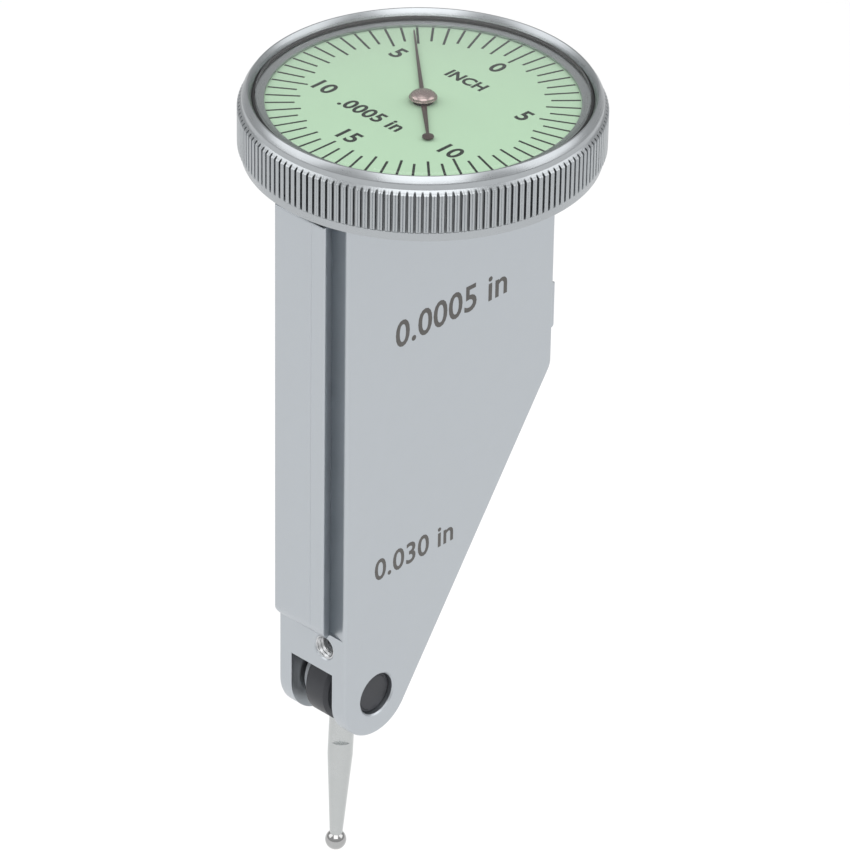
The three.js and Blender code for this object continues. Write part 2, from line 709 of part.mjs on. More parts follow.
// Lever pieces are built standing up from the pivot axis, then leant over and moved to it.
function leant(solid) {
  return solidOf(geometryOf(solid).rotateY(sectorLean).translate(pivotX, 0, PIVOT_Z));
}

function leverYoke() {
  const top = yokeBottom + YOKE_BLOCK;
  const cheek = (y0, y1) => joined(
    alongY(rod(CHEEK_R, y0, y1, 32)),
    box(-YOKE_HALF_WIDTH, YOKE_HALF_WIDTH, y0, y1, 0, top),
  );
  const upright = joined(
    cheek(cheekInner, cheekOuter),
    cheek(-cheekOuter, -cheekInner),
    box(-YOKE_HALF_WIDTH, YOKE_HALF_WIDTH, -cheekOuter, cheekOuter, yokeBottom, top),
  );
  const bored = cut(upright, alongY(rod(AXLE_R + PIVOT_GAP, -FAR, FAR)));
  const armTop = sectorR - 1.4;
  const arm = outlineOf([
    [-ARM_FOOT_WIDTH / 2, top - 0.5],
    [ARM_FOOT_WIDTH / 2, top - 0.5],
    [ARM_TOP_WIDTH / 2, top + ARM_TAPER],
    ...arc(0, armTop, ARM_TOP_WIDTH / 2, 0, Math.PI, 8),
    [-ARM_TOP_WIDTH / 2, top + ARM_TAPER],
  ]);
  // The yoke stays upright in the fork, and only the arm leans.
  const standing = placed(bored, pivotX, 0, PIVOT_Z);
  const leaning = cut(
    extrudedAcross(arm, armY, armY + ARM_THICKNESS),
    ...rivetHoles(),
  );
  return joined(standing, leant(leaning));
}

const rivetHoles = () => rivetHeights.map((z) => alongY(rod(RIVET_R + PIVOT_GAP, -FAR, FAR, 12), 0, z));

function sectorGear() {
  const step = (2 * Math.PI) / SECTOR_TEETH_ROUND;
  const root = sectorR - DEDENDUM * sectorModule;
  const tip = sectorR + ADDENDUM * sectorModule;
  const points = [];
  for (let i = 0; i < SECTOR_TEETH; i++) {
    const centre = Math.PI / 2 + (i - (SECTOR_TEETH - 1) / 2) * step;
    points.push(...toothFlanks(centre, step, root, tip));
  }
  const span = ((SECTOR_TEETH + 1) / 2) * step;
  const outline = outlineOf([
    ...[[root, Math.PI / 2 - span], ...points, [root, Math.PI / 2 + span]].map(polar),
    polar([root - 1, Math.PI / 2 + span]),
    [-SECTOR_FOOT_WIDTH / 2, sectorR - SECTOR_FOOT],
    [SECTOR_FOOT_WIDTH / 2, sectorR - SECTOR_FOOT],
    polar([root - 1, Math.PI / 2 - span]),
  ]);
  const plate = extrudedAcross(outline, sectorY, sectorY + SECTOR_THICKNESS);
  return leant(cut(plate, ...rivetHoles()));
}

function sectorRivet(height) {
  const near = armY - PIVOT_GAP;
  const far = sectorY + SECTOR_THICKNESS + PIVOT_GAP;
  const headR = RIVET_R + 2 * EDGE_BREAK;
  const rivet = turned([
    [0, near - RIVET_HEAD],
    [headR - SEAT_GAP, near - RIVET_HEAD],
    [headR, near],
    [RIVET_R, near],
    [RIVET_R, far],
    [headR, far],
    [headR - SEAT_GAP, far + RIVET_HEAD],
    [0, far + RIVET_HEAD],
  ], 16);
  return leant(alongY(rivet, 0, height));
}

// A coil round its pin, with one leg on the wall and the other leaning towards the lever's arm.
function returnSpring() {
  const stepsRound = 12;
  const coilSteps = SPRING_TURNS * stepsRound;
  const last = SPRING_Y + SPRING_TURNS * SPRING_PITCH;
  const coil = Array.from({ length: coilSteps + 1 }, (_, i) => {
    const angle = (-2 * Math.PI * i) / stepsRound;
    const y = SPRING_Y + (last - SPRING_Y) * (i / coilSteps);
    return [SPRING_X + SPRING_COIL_R * Math.cos(angle), y, SPRING_Z + SPRING_COIL_R * Math.sin(angle)];
  });
  const route = [
    [SPRING_X + SPRING_COIL_R, SPRING_Y, SPRING_Z + SPRING_FIXED_LEG],
    [SPRING_X + SPRING_COIL_R, SPRING_Y, SPRING_Z + 1],
    ...coil,
    [SPRING_X + 0.8 * SPRING_COIL_R, last + 0.2, SPRING_Z + 1.6],
    [SPRING_X - SPRING_FREE_REACH, last + 0.24, SPRING_Z + SPRING_FREE_LEG],
  ];
  const points = route.map(([x, y, z]) => new THREE.Vector3(x, y, z));
  const path = new THREE.CatmullRomCurve3(points, false, "centripetal");
  const section = outlineOf(arc(0, 0, SPRING_WIRE_R, 0, 2 * Math.PI, 4).slice(0, 4));
  return solidOf(new THREE.ExtrudeGeometry(section, { steps: 60, extrudePath: path, bevelEnabled: false }));
}

function springPin() {
  const wall = -halfSpace + PIVOT_GAP;
  return alongY(rod(SPRING_PIN_R, wall, SPRING_Y + SPRING_TURNS * SPRING_PITCH + 0.6), SPRING_X, SPRING_Z);
}

// ---- Movement --------------------------------------------------------------------------------------------

function crownArbor() {
  const outline = gearOutline(ARBOR_PINION_TEETH, {
    module: sectorModule,
    phase: -Math.PI / 2 - sectorLean,
    toothThere: false,
  });
  const shaft = alongY(rod(ARBOR_R, SEAT_GAP - bracketOuter, bracketOuter - SEAT_GAP));
  const pinion = extrudedAcross(outline, sectorY - 0.3, sectorY + SECTOR_THICKNESS + 0.3);
  return placed(joined(shaft, pinion), 0, 0, CROWN_Z);
}

function crownWheel() {
  const rootY = -pointerPinionR - 1.15 * GEAR_MODULE;
  const tipY = (ADDENDUM - 0.1) * GEAR_MODULE - pointerPinionR;
  const inner = crownR - CROWN_FACE / 2;
  const outer = crownR + CROWN_FACE / 2;
  const pitch = (2 * Math.PI * crownR) / CROWN_TEETH;
  const disc = alongY(tube(ARBOR_R + PIVOT_GAP, outer, rootY - CROWN_DISC, rootY, 32));
  const boss = alongY(tube(ARBOR_R + PIVOT_GAP, CROWN_BOSS_R, rootY - SEAT_GAP, rootY + 0.35, 16));
  const section = outlineOf([
    [-TOOTH_ROOT_SHARE * pitch, rootY - SEAT_GAP],
    [TOOTH_ROOT_SHARE * pitch, rootY - SEAT_GAP],
    [TOOTH_TIP_SHARE * pitch, tipY],
    [-TOOTH_TIP_SHARE * pitch, tipY],
  ]);
  const tooth = geometryOf(extrudedUp(section, inner, outer));
  const teeth = Array.from({ length: CROWN_TEETH }, (_, i) =>
    solidOf(tooth.clone().rotateY((2 * Math.PI * i) / CROWN_TEETH)),
  );
  return placed(joined(disc, boss, ...teeth), 0, 0, CROWN_Z);
}

function pointerArbor() {
  const outline = gearOutline(POINTER_PINION_TEETH, {
    module: GEAR_MODULE,
    phase: -Math.PI / 2,
    toothThere: false,
  });
  return joined(
    rod(POINTER_ARBOR_R, jewelBarBottom + EDGE_BREAK, capBase + CAP_SOCKET_DEPTH - PIVOT_GAP),
    extrudedUp(outline, jewelBarTop + 0.15, crownTop + 0.2),
  );
}

// A hanging frame: two side walls for the crown arbor, and a bar under the pointer arbor's lower end.
function arborBracket() {
  const half = BRACKET_HALF_WIDTH;
  const bottom = CROWN_Z - half + BRACKET_WALL;
  const barStart = 0.45 - pointerPinionR;
  const whole = joined(
    box(-half, half, -bracketOuter, bracketOuter, bracketTop - BRACKET_WALL, bracketTop),
    box(-half, half, -bracketOuter, -bracketInner, bottom, bracketTop),
    box(-half, half, bracketInner, bracketOuter, bottom, bracketTop),
    box(-JEWEL_BAR_HALF_WIDTH, JEWEL_BAR_HALF_WIDTH, barStart, bracketOuter, jewelBarBottom, jewelBarTop),
  );
  return cut(
    whole,
    rod(JEWEL_R + PIVOT_GAP, jewelBarBottom - 1, jewelBarTop + 1),
    rod(POINTER_ARBOR_R + BRACKET_WALL, bracketTop - 1, bracketTop + 1),
    alongY(rod(JEWEL_R + PIVOT_GAP, -FAR, FAR), 0, CROWN_Z),
  );
}

const jewel = (bore, z0, z1) => tube(bore + PIVOT_GAP, JEWEL_R, z0, z1, 16);

const pillarPlaces = [-1, 1].map((side) => [side * (BRIDGE_LENGTH / 2 - BRIDGE_WIDTH / 2), 0]);

function movementPlate() {
  return cut(
    tube(POINTER_ARBOR_R + BRACKET_WALL, PLATE_R, plateBottom, plateTop, 36),
    ...plateScrewPlaces.map(([x, y]) => placed(rod(SCREW_R + SEAT_GAP, -FAR, FAR, 16), x, y, 0)),
  );
}

function movementBridge() {
  const straight = BRIDGE_LENGTH / 2 - BRIDGE_WIDTH / 2;
  const outline = outlineOf([
    ...arc(straight, 0, BRIDGE_WIDTH / 2, -Math.PI / 2, Math.PI / 2, 12),
    ...arc(-straight, 0, BRIDGE_WIDTH / 2, Math.PI / 2, (3 * Math.PI) / 2, 12),
  ]);
  return cut(
    extrudedUp(outline, bridgeBottom, BRIDGE_TOP, 0.08),
    rod(JEWEL_R + PIVOT_GAP, -FAR, FAR),
    ...pillarPlaces.map(([x, y]) => placed(rod(SCREW_R + SEAT_GAP, -FAR, FAR, 16), x, y, 0)),
  );
}

function bridgePillar([x, y]) {
  const bottom = plateTop + PIVOT_GAP;
  const top = bridgeBottom - PIVOT_GAP;
  return placed(tube(SCREW_R + SEAT_GAP, PILLAR_R, bottom, top, 24), x, y, 0);
}

// A cheese-head screw whose head rests on a face at the given height.
function screw([x, y], seat, length) {
  const body = turned(
    [
      [0, seat - length],
      [SCREW_R - EDGE_BREAK, seat - length],
      [SCREW_R, seat - length + EDGE_BREAK],
      [SCREW_R, seat + PIVOT_GAP],
      [SCREW_HEAD_R, seat + PIVOT_GAP],
      [SCREW_HEAD_R, seat + SCREW_HEAD - EDGE_BREAK / 2],
      [SCREW_HEAD_R - EDGE_BREAK / 2, seat + SCREW_HEAD],
      [0, seat + SCREW_HEAD],
    ],
    14,
  );
  const slot = box(-FAR, FAR, -SCREW_SLOT / 2, SCREW_SLOT / 2, seat + SCREW_HEAD / 2, seat + 1);
  return placed(cut(body, slot), x, y, 0);
}

// A flat spiral band from the collet out to its stud.
function hairspring() {
  const steps = HAIRSPRING_TURNS * 18;
  const start = COLLET_R + RUNNING_GAP;
  const points = Array.from({ length: steps + 1 }, (_, i) => {
    const angle = (i / steps) * HAIRSPRING_TURNS * 2 * Math.PI;
    const r = start + ((HAIRSPRING_R - start) * i) / steps;
    return [r * Math.cos(angle), r * Math.sin(angle)];
  });
  const outer = points.map(([x, y]) => {
    const grown = 1 + HAIRSPRING_THICKNESS / Math.hypot(x, y);
    return [x * grown, y * grown];
  });
  const outline = outlineOf([...points, ...outer.reverse()]);
  return extrudedUp(outline, hairspringZ - HAIRSPRING_BAND / 2, hairspringZ + HAIRSPRING_BAND / 2);
}

function hairspringCollet() {
  const half = COLLET_HEIGHT / 2;
  return tube(POINTER_ARBOR_R + PIVOT_GAP, COLLET_R, hairspringZ - half, hairspringZ + half, 20);
}

function hairspringStud() {
  const at = HAIRSPRING_R + HAIRSPRING_THICKNESS + STUD_R + SEAT_GAP;
  return placed(rod(STUD_R, plateTop + PIVOT_GAP, hairspringZ + COLLET_HEIGHT / 2, 16), at, 0, 0);
}

// ---- Pointer ---------------------------------------------------------------------------------------------

function pointer() {
  const meets = (width) => Math.asin(width / 2 / POINTER_HUB_R);
  const arm = meets(POINTER_ROOT_WIDTH);
  const tail = meets(TAIL_ROOT_WIDTH);
  const disc = Math.asin(TAIL_TIP_WIDTH / 2 / POINTER_TAIL_DISC_R);
  const outline = outlineOf([
    ...arc(0, 0, POINTER_HUB_R, arm, Math.PI - tail, 10),
    ...arc(-POINTER_TAIL_R, 0, POINTER_TAIL_DISC_R, disc, 2 * Math.PI - disc, 16),
    ...arc(0, 0, POINTER_HUB_R, Math.PI + tail, 2 * Math.PI - arm, 10),
    [POINTER_TIP_R - 0.25, -POINTER_TIP_WIDTH / 2],
    [POINTER_TIP_R, 0],
    [POINTER_TIP_R - 0.25, POINTER_TIP_WIDTH / 2],
  ]);
  const flat = cut(
    extrudedUp(outline, POINTER_LIFT, POINTER_LIFT + POINTER_THICKNESS),
    rod(POINTER_ARBOR_R + PIVOT_GAP, -1, 1),
  );
  return solidOf(geometryOf(flat).rotateZ(POINTER_ANGLE));
}

function pointerCap() {
  const brim = capBase + EDGE_BREAK;
  const rise = CAP_RISE - EDGE_BREAK;
  const dome = arc(0, 0, 1, 0, Math.PI / 2, 5).map(([c, s]) => [CAP_R * c, brim + rise * s]);
  dome[dome.length - 1][0] = 0;
  const socket = POINTER_ARBOR_R + PIVOT_GAP;
  return turned([
    [0, capBase + CAP_SOCKET_DEPTH],
    [socket, capBase + CAP_SOCKET_DEPTH],
    [socket, capBase],
    [CAP_R - EDGE_BREAK, capBase],
    ...dome,
  ], 24);
}

// ---- Fork bearings and axle ------------------------------------------------------------------------------

function pivotBearing(side) {
  const outer = halfBlade - BEARING_RECESS;
  const inner = halfSlot + SEAT_GAP;
  const cup = turned(
    [
      [0, outer],
      [EAR_BORE_R - EDGE_BREAK, outer],
      [EAR_BORE_R - PIVOT_GAP, outer - EDGE_BREAK],
      [EAR_BORE_R - PIVOT_GAP, inner],
      [AXLE_R + PIVOT_GAP, inner],
      [AXLE_R + PIVOT_GAP, outer - BEARING_CAP],
      [0, outer - BEARING_CAP],
    ],
    28,
  );
  const turnedRound = side < 0 ? solidOf(geometryOf(cup).rotateX(Math.PI)) : cup;
  return alongY(turnedRound, pivotX, PIVOT_Z);
}

function pivotAxle() {
  const end = halfBlade - BEARING_RECESS - BEARING_CAP - SEAT_GAP;
  const axle = turned([
    [0, -end],
    [AXLE_R - EDGE_BREAK, -end],
    [AXLE_R, EDGE_BREAK - end],
    [AXLE_R, end - EDGE_BREAK],
    [AXLE_R - EDGE_BREAK, end],
    [0, end],
  ]);
  return alongY(axle, pivotX, PIVOT_Z);
}

function frictionWasher(side) {
  const [near, far] = [side * washerInner, side * (washerInner + WASHER_THICKNESS)].sort((a, b) => a - b);
  return alongY(tube(AXLE_R + PIVOT_GAP, WASHER_R, near, far), pivotX, PIVOT_Z);
}

// ---- Assembly --------------------------------------------------------------------------------------------

const finishes = {
  satinChrome: { color: 0xb8bec4, roughness: 0.38, metalness: 0.9 },
  polished: { color: 0xc9cdd0, roughness: 0.15, metalness: 1.0 },
  steel: { color: 0xa9adb0, roughness: 0.35, metalness: 1.0 },
  blackened: { color: 0x2b2c30, roughness: 0.5, metalness: 0.6 },
  brass: { color: 0xc9a95c, roughness: 0.3, metalness: 1.0 },
  dialGreen: { color: 0xc3e2c5, roughness: 0.6, metalness: 0.0 },
  ruby: { color: 0xa01838, roughness: 0.1, metalness: 0.0 },
  rubber: { color: 0x1d1d1e, roughness: 0.85, metalness: 0.0 },
  pointerBrown: { color: 0x2d1d1a, roughness: 0.45, metalness: 0.3 },
  glass: { color: 0xffffff, roughness: 0.02, metalness: 0.0, transparent: true, opacity: 0.2 },
};

const indicator = new THREE.Group();
indicator.name = "dial_test_indicator";
indicator.position.set(-railFace, 0, -(RAIL_TOP + railFoot + RAIL_RAMP) / 2);

function add(name, solid, finish) {
  const mesh = new THREE.Mesh(geometryOf(solid), new THREE.MeshStandardMaterial(finishes[finish]));
  mesh.name = name;
  indicator.add(mesh);
}

add("housing", housing(), "satinChrome");
add("set_screw", setScrew(), "steel");
add("pivot_bearing_front", pivotBearing(-1), "blackened");
add("pivot_bearing_back", pivotBearing(1), "blackened");
add("snap_ring", snapRing(), "steel");
add("sealing_ring", sealingRing(), "rubber");

add("bezel", bezel(), "satinChrome");
add("crystal", crystal(), "glass");
add("crystal_gasket", crystalGasket(), "rubber");
add("dial", dial(), "dialGreen");
add("dial_carrier", dialCarrier(), "brass");

add("movement_plate", movementPlate(), "brass");
add("movement_bridge", movementBridge(), "brass");
add("arbor_bracket", arborBracket(), "brass");
pillarPlaces.forEach((place, i) => {
  add(`bridge_pillar_${i + 1}`, bridgePillar(place), "steel");
  add(`bridge_screw_${i + 1}`, screw(place, BRIDGE_TOP, 1.5), "steel");
});
plateScrewPlaces.forEach((place, i) => {
  add(`plate_screw_${i + 1}`, screw(place, plateTop, PLATE_THICKNESS + FLOOR_THICKNESS - 0.1), "steel");
});
const sideJewel = jewel(ARBOR_R, bracketInner + SEAT_GAP, bracketOuter - SEAT_GAP);
add("jewel_upper", jewel(POINTER_ARBOR_R, bridgeBottom + SEAT_GAP, BRIDGE_TOP - SEAT_GAP), "ruby");
add("jewel_lower", jewel(POINTER_ARBOR_R, jewelBarBottom + SEAT_GAP, jewelBarTop - SEAT_GAP), "ruby");
add("jewel_front", placed(alongY(sideJewel), 0, -bracketInner - bracketOuter, CROWN_Z), "ruby");
add("jewel_back", alongY(sideJewel, 0, CROWN_Z), "ruby");
add("hairspring", hairspring(), "steel");
add("hairspring_stud", hairspringStud(), "brass");
add("return_spring", returnSpring(), "steel");
add("spring_pin", springPin(), "steel");

add("crown_arbor", crownArbor(), "steel");
add("crown_wheel", crownWheel(), "brass");

add("pointer_arbor", pointerArbor(), "steel");
add("hairspring_collet", hairspringCollet(), "brass");
add("pointer", pointer(), "pointerBrown");
add("pointer_cap", pointerCap(), "polished");

add("lever_yoke", leverYoke(), "steel");
add("sector_gear", sectorGear(), "brass");
rivetHeights.forEach((height, i) => add(`sector_rivet_${i + 1}`, sectorRivet(height), "steel"));
add("pivot_axle", pivotAxle(), "steel");
add("friction_washer_front", frictionWasher(-1), "blackened");
add("friction_washer_back", frictionWasher(1), "blackened");

add("stylus_hub", stylusHub(), "blackened");
add("stylus_stem", stylusStem(), "steel");
add("ball_tip", ballTip(), "polished");

export default indicator;
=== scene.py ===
"""Looks for a lever dial test indicator: a round dial head on a slim dovetailed housing, with a ball stylus.

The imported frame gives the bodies, the joints and the places. Each new piece is a closed surface worked out
with numpy in millimetres, in the dial's own frame: the origin is the dial's centre on its printed face, +Z up,
and the Y axis runs along the stylus's pivot. `Bench` turns such a surface into a mesh and carries it into the
part's frame.
"""
import json
import logging
import math
from dataclasses import dataclass, field
from enum import Enum
from typing import Any

import bmesh
import bpy
import numpy as np
from mathutils import Matrix, Vector


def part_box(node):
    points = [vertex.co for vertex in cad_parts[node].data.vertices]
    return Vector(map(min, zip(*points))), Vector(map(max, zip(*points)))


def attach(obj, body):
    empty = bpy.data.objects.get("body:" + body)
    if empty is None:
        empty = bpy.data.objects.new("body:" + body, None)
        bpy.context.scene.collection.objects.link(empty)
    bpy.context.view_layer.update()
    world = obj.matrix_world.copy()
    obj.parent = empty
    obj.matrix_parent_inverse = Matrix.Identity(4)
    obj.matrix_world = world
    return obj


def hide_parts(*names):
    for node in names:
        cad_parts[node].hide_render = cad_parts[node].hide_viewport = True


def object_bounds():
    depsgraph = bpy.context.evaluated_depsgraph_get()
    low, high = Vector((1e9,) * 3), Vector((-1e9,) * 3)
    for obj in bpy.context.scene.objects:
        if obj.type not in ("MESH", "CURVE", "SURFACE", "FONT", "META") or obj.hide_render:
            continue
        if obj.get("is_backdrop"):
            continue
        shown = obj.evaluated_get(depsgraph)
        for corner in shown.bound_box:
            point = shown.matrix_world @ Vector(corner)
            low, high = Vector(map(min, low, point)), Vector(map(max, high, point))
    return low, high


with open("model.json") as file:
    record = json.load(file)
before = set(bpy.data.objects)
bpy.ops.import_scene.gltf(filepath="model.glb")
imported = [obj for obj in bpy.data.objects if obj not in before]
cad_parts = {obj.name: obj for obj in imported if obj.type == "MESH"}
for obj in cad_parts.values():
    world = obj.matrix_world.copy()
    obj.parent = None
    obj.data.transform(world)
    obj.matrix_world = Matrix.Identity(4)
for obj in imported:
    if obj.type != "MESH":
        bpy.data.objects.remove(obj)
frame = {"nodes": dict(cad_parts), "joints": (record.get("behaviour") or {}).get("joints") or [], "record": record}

log = logging.getLogger("dial_test_indicator")

Array = np.ndarray
Colour = tuple[float, float, float]

MM = 0.001  # metres
MERGE = 1e-4  # points closer than this become one
SEAT_GAP = 0.05  # between the bezel's flange and what lies on it
FAR = 60.0  # past everything, for solids that only cut or keep
INK = 0.01  # thickness of print
CAPITAL = 0.729  # a capital's height as a share of the font's size
ROUND, SMALL_ROUND = 160, 96  # points in a large and a small circle
CREASE = 32.0  # degrees


# ---- Curves and surfaces ---------------------------------------------------------------------------------


def rounded(corners: list[tuple[float, ...]], steps: int = 6, closed: bool = True) -> Array:
    """Rounds the corners of a polyline.

    Each corner that has a radius becomes the arc that touches both of its sides: its centre lies on the
    corner's bisector, and its points are spread evenly between the two touching points.

    Args:
        corners: (x, y) or (x, y, radius) for each corner.
        steps: Stretches in each arc.
        closed: Whether the last corner joins the first.

    Returns:
        Points, (n, 2).
    """
    at = np.array([corner[:2] for corner in corners], float)
    radius = np.array([corner[2] if len(corner) > 2 else 0.0 for corner in corners])
    before = np.roll(at, 1, axis=0) - at
    after = np.roll(at, -1, axis=0) - at
    before /= np.maximum(np.linalg.norm(before, axis=1, keepdims=True), 1e-12)
    after /= np.maximum(np.linalg.norm(after, axis=1, keepdims=True), 1e-12)
    angle = np.arccos(np.clip((before * after).sum(1), -1 + 1e-9, 1 - 1e-9))
    if not closed:
        radius[[0, -1]] = 0.0
    bisector = before + after
    bisector /= np.maximum(np.linalg.norm(bisector, axis=1, keepdims=True), 1e-12)
    centre = at + bisector * (radius / np.sin(angle / 2))[:, None]
    start = at + before * (radius / np.tan(angle / 2))[:, None] - centre
    end = at + after * (radius / np.tan(angle / 2))[:, None] - centre
    sweep = (np.pi - angle)[:, None]
    share = np.linspace(0, 1, steps + 1)[None, :]
    weights = np.sin((1 - share) * sweep) / np.sin(sweep), np.sin(share * sweep) / np.sin(sweep)
    points = centre[:, None] + weights[0][..., None] * start[:, None] + weights[1][..., None] * end[:, None]
    return points.reshape(-1, 2)


def without_repeats(points: Array) -> Array:
    """The points of a closed outline with those dropped that repeat the one before."""
    step = np.linalg.norm(points - np.roll(points, 1, axis=0), axis=1)
    return points[step > 1e-6]


def arc(centre: tuple[float, float], radius: float, start: float, end: float, steps: int) -> Array:
    """Points on a circle's arc from one angle to another, in radians, ends included."""
    angle = np.linspace(start, end, steps + 1)
    return np.column_stack([centre[0] + radius * np.cos(angle), centre[1] + radius * np.sin(angle)])


def inset(outline: Array, distance: float | Array) -> Array:
    """Moves a closed counter-clockwise outline inwards by a distance, with mitred corners.

    Each point moves along the mean of its two sides' inward normals, by the distance over the cosine of half
    the bend, so that every side stays parallel to itself.
    """
    side = np.roll(outline, -1, axis=0) - outline
    side /= np.linalg.norm(side, axis=1, keepdims=True)
    normal = np.column_stack([-side[:, 1], side[:, 0]])
    before = np.roll(normal, 1, axis=0)
    mitre = (normal + before) / (1 + (normal * before).sum(1, keepdims=True))
    return outline + mitre * distance


def turned(profile: Array, columns: int) -> Array:
    """Surface of revolution: a profile point (r, z) at angle t goes to (r cos t, r sin t, z)."""
    angle = np.linspace(0, 2 * np.pi, columns, endpoint=False)
    r, z = profile[:, 0, None], profile[:, 1, None]
    return np.stack([r * np.cos(angle), r * np.sin(angle), z + 0 * angle], axis=-1)


class Lie(Enum):
    """How a surface that was worked out about the Z axis, or in the XY plane, is laid in the piece."""

    UP = "up"
    ALONG_X = "along x"
    ALONG_Y = "along y"

    def apply(self, points: Array) -> Array:
        """Turns points from (a, b, height) to the axes that this value names."""
        a, b, height = points[..., 0], points[..., 1], points[..., 2]
        order = {Lie.UP: (a, b, height), Lie.ALONG_X: (height, a, b), Lie.ALONG_Y: (a, height, b)}
        return np.stack(order[self], axis=-1)


class Surface:
    """The points and faces of one piece in millimetres, gathered from grids and flat caps."""

    def __init__(self) -> None:
        """Starts with nothing."""
        self.points: list[Array] = []
        self.corners: list[Array] = []
        self.sizes: list[Array] = []
        self.count = 0

    def _keep(self, points: Array, faces: Array) -> "Surface":
        """Adds points and faces that all have the same number of corners."""
        self.points.append(points.reshape(-1, 3))
        self.corners.append((faces + self.count).ravel())
        self.sizes.append(np.full(len(faces), faces.shape[1]))
        self.count += len(self.points[-1])
        return self

    def grid(self, points: Array, wrap_rows: bool = False) -> "Surface":
        """Adds a grid of quads, whose last column joins the first.

        Args:
            points: (rows, columns, 3).
            wrap_rows: Whether the last row joins the first.

        Returns:
            This surface.
        """
        index = np.arange(points.shape[0] * points.shape[1]).reshape(points.shape[:2])
        if wrap_rows:
            index = np.vstack([index, index[:1]])
        index = np.hstack([index, index[:, :1]])
        quads = np.stack([index[:-1, :-1], index[1:, :-1], index[1:, 1:], index[:-1, 1:]], axis=-1)
        return self._keep(points, quads.reshape(-1, 4))

    def cap(self, ring: Array) -> "Surface":
        """Adds one flat face with the ring's points as its corners."""
        return self._keep(ring, np.arange(len(ring))[None, :])

    def many(self, points: Array, faces: Array) -> "Surface":
        """Adds several copies of one small solid: points (copies, n, 3), faces (m, corners) of one copy."""
        shift = np.arange(len(points))[:, None, None] * points.shape[1]
        return self._keep(points, (faces[None] + shift).reshape(-1, faces.shape[1]))


def lathe(profile: Array, columns: int, lie: Lie = Lie.UP, centre: tuple[float, ...] = (0, 0, 0)) -> Surface:
    """A closed turned solid, laid down and moved to its centre.

    Args:
        profile: Points (radius, height): either a closed ring, or a line that starts and ends on the axis.
        columns: Points in each circle.
        lie: Where the height points.
        centre: The origin's new place.

    Returns:
        The closed surface.
    """
    on_axis = bool(np.all(profile[[0, -1], 0] < 1e-9))
    return Surface().grid(lie.apply(turned(profile, columns)) + np.array(centre), wrap_rows=not on_axis)


def slab(outline: Array, low: float, high: float, lie: Lie = Lie.UP, edge: float = 0.0) -> Surface:
    """A flat solid: an outline carried through a thickness, with its rims rounded.

    Each rim is a quarter circle: at angle p the outline is drawn in by edge (1 - sin p), at a height of
    edge (1 - cos p) from the flat face.

    Args:
        outline: Counter-clockwise points, (n, 2).
        low: Height of the lower face.
        high: Height of the upper face.
        lie: Where the height points.
        edge: Radius of the rims.

    Returns:
        The closed surface.
    """
    quarter = np.linspace(0, np.pi / 2, 6) if edge > 0 else np.zeros(1)
    drawn = edge * (1 - np.sin(quarter))
    rise = edge * (1 - np.cos(quarter))
    drawn, height = np.concatenate([drawn, drawn[::-1]]), np.concatenate([low + rise, (high - rise)[::-1]])
    rings = outline[None] + (inset(outline, 1.0) - outline)[None] * drawn[:, None, None]
    heights = np.broadcast_to(height[:, None, None], rings.shape[:2] + (1,))
    points = lie.apply(np.concatenate([rings, heights], -1))
    return Surface().grid(points).cap(points[0]).cap(points[-1])


# ---- The bench: from surfaces to pieces ------------------------------------------------------------------


class Join(Enum):
    """How one solid is put together with another."""

    ADD = "UNION"
    CUT = "DIFFERENCE"
    KEEP = "INTERSECT"


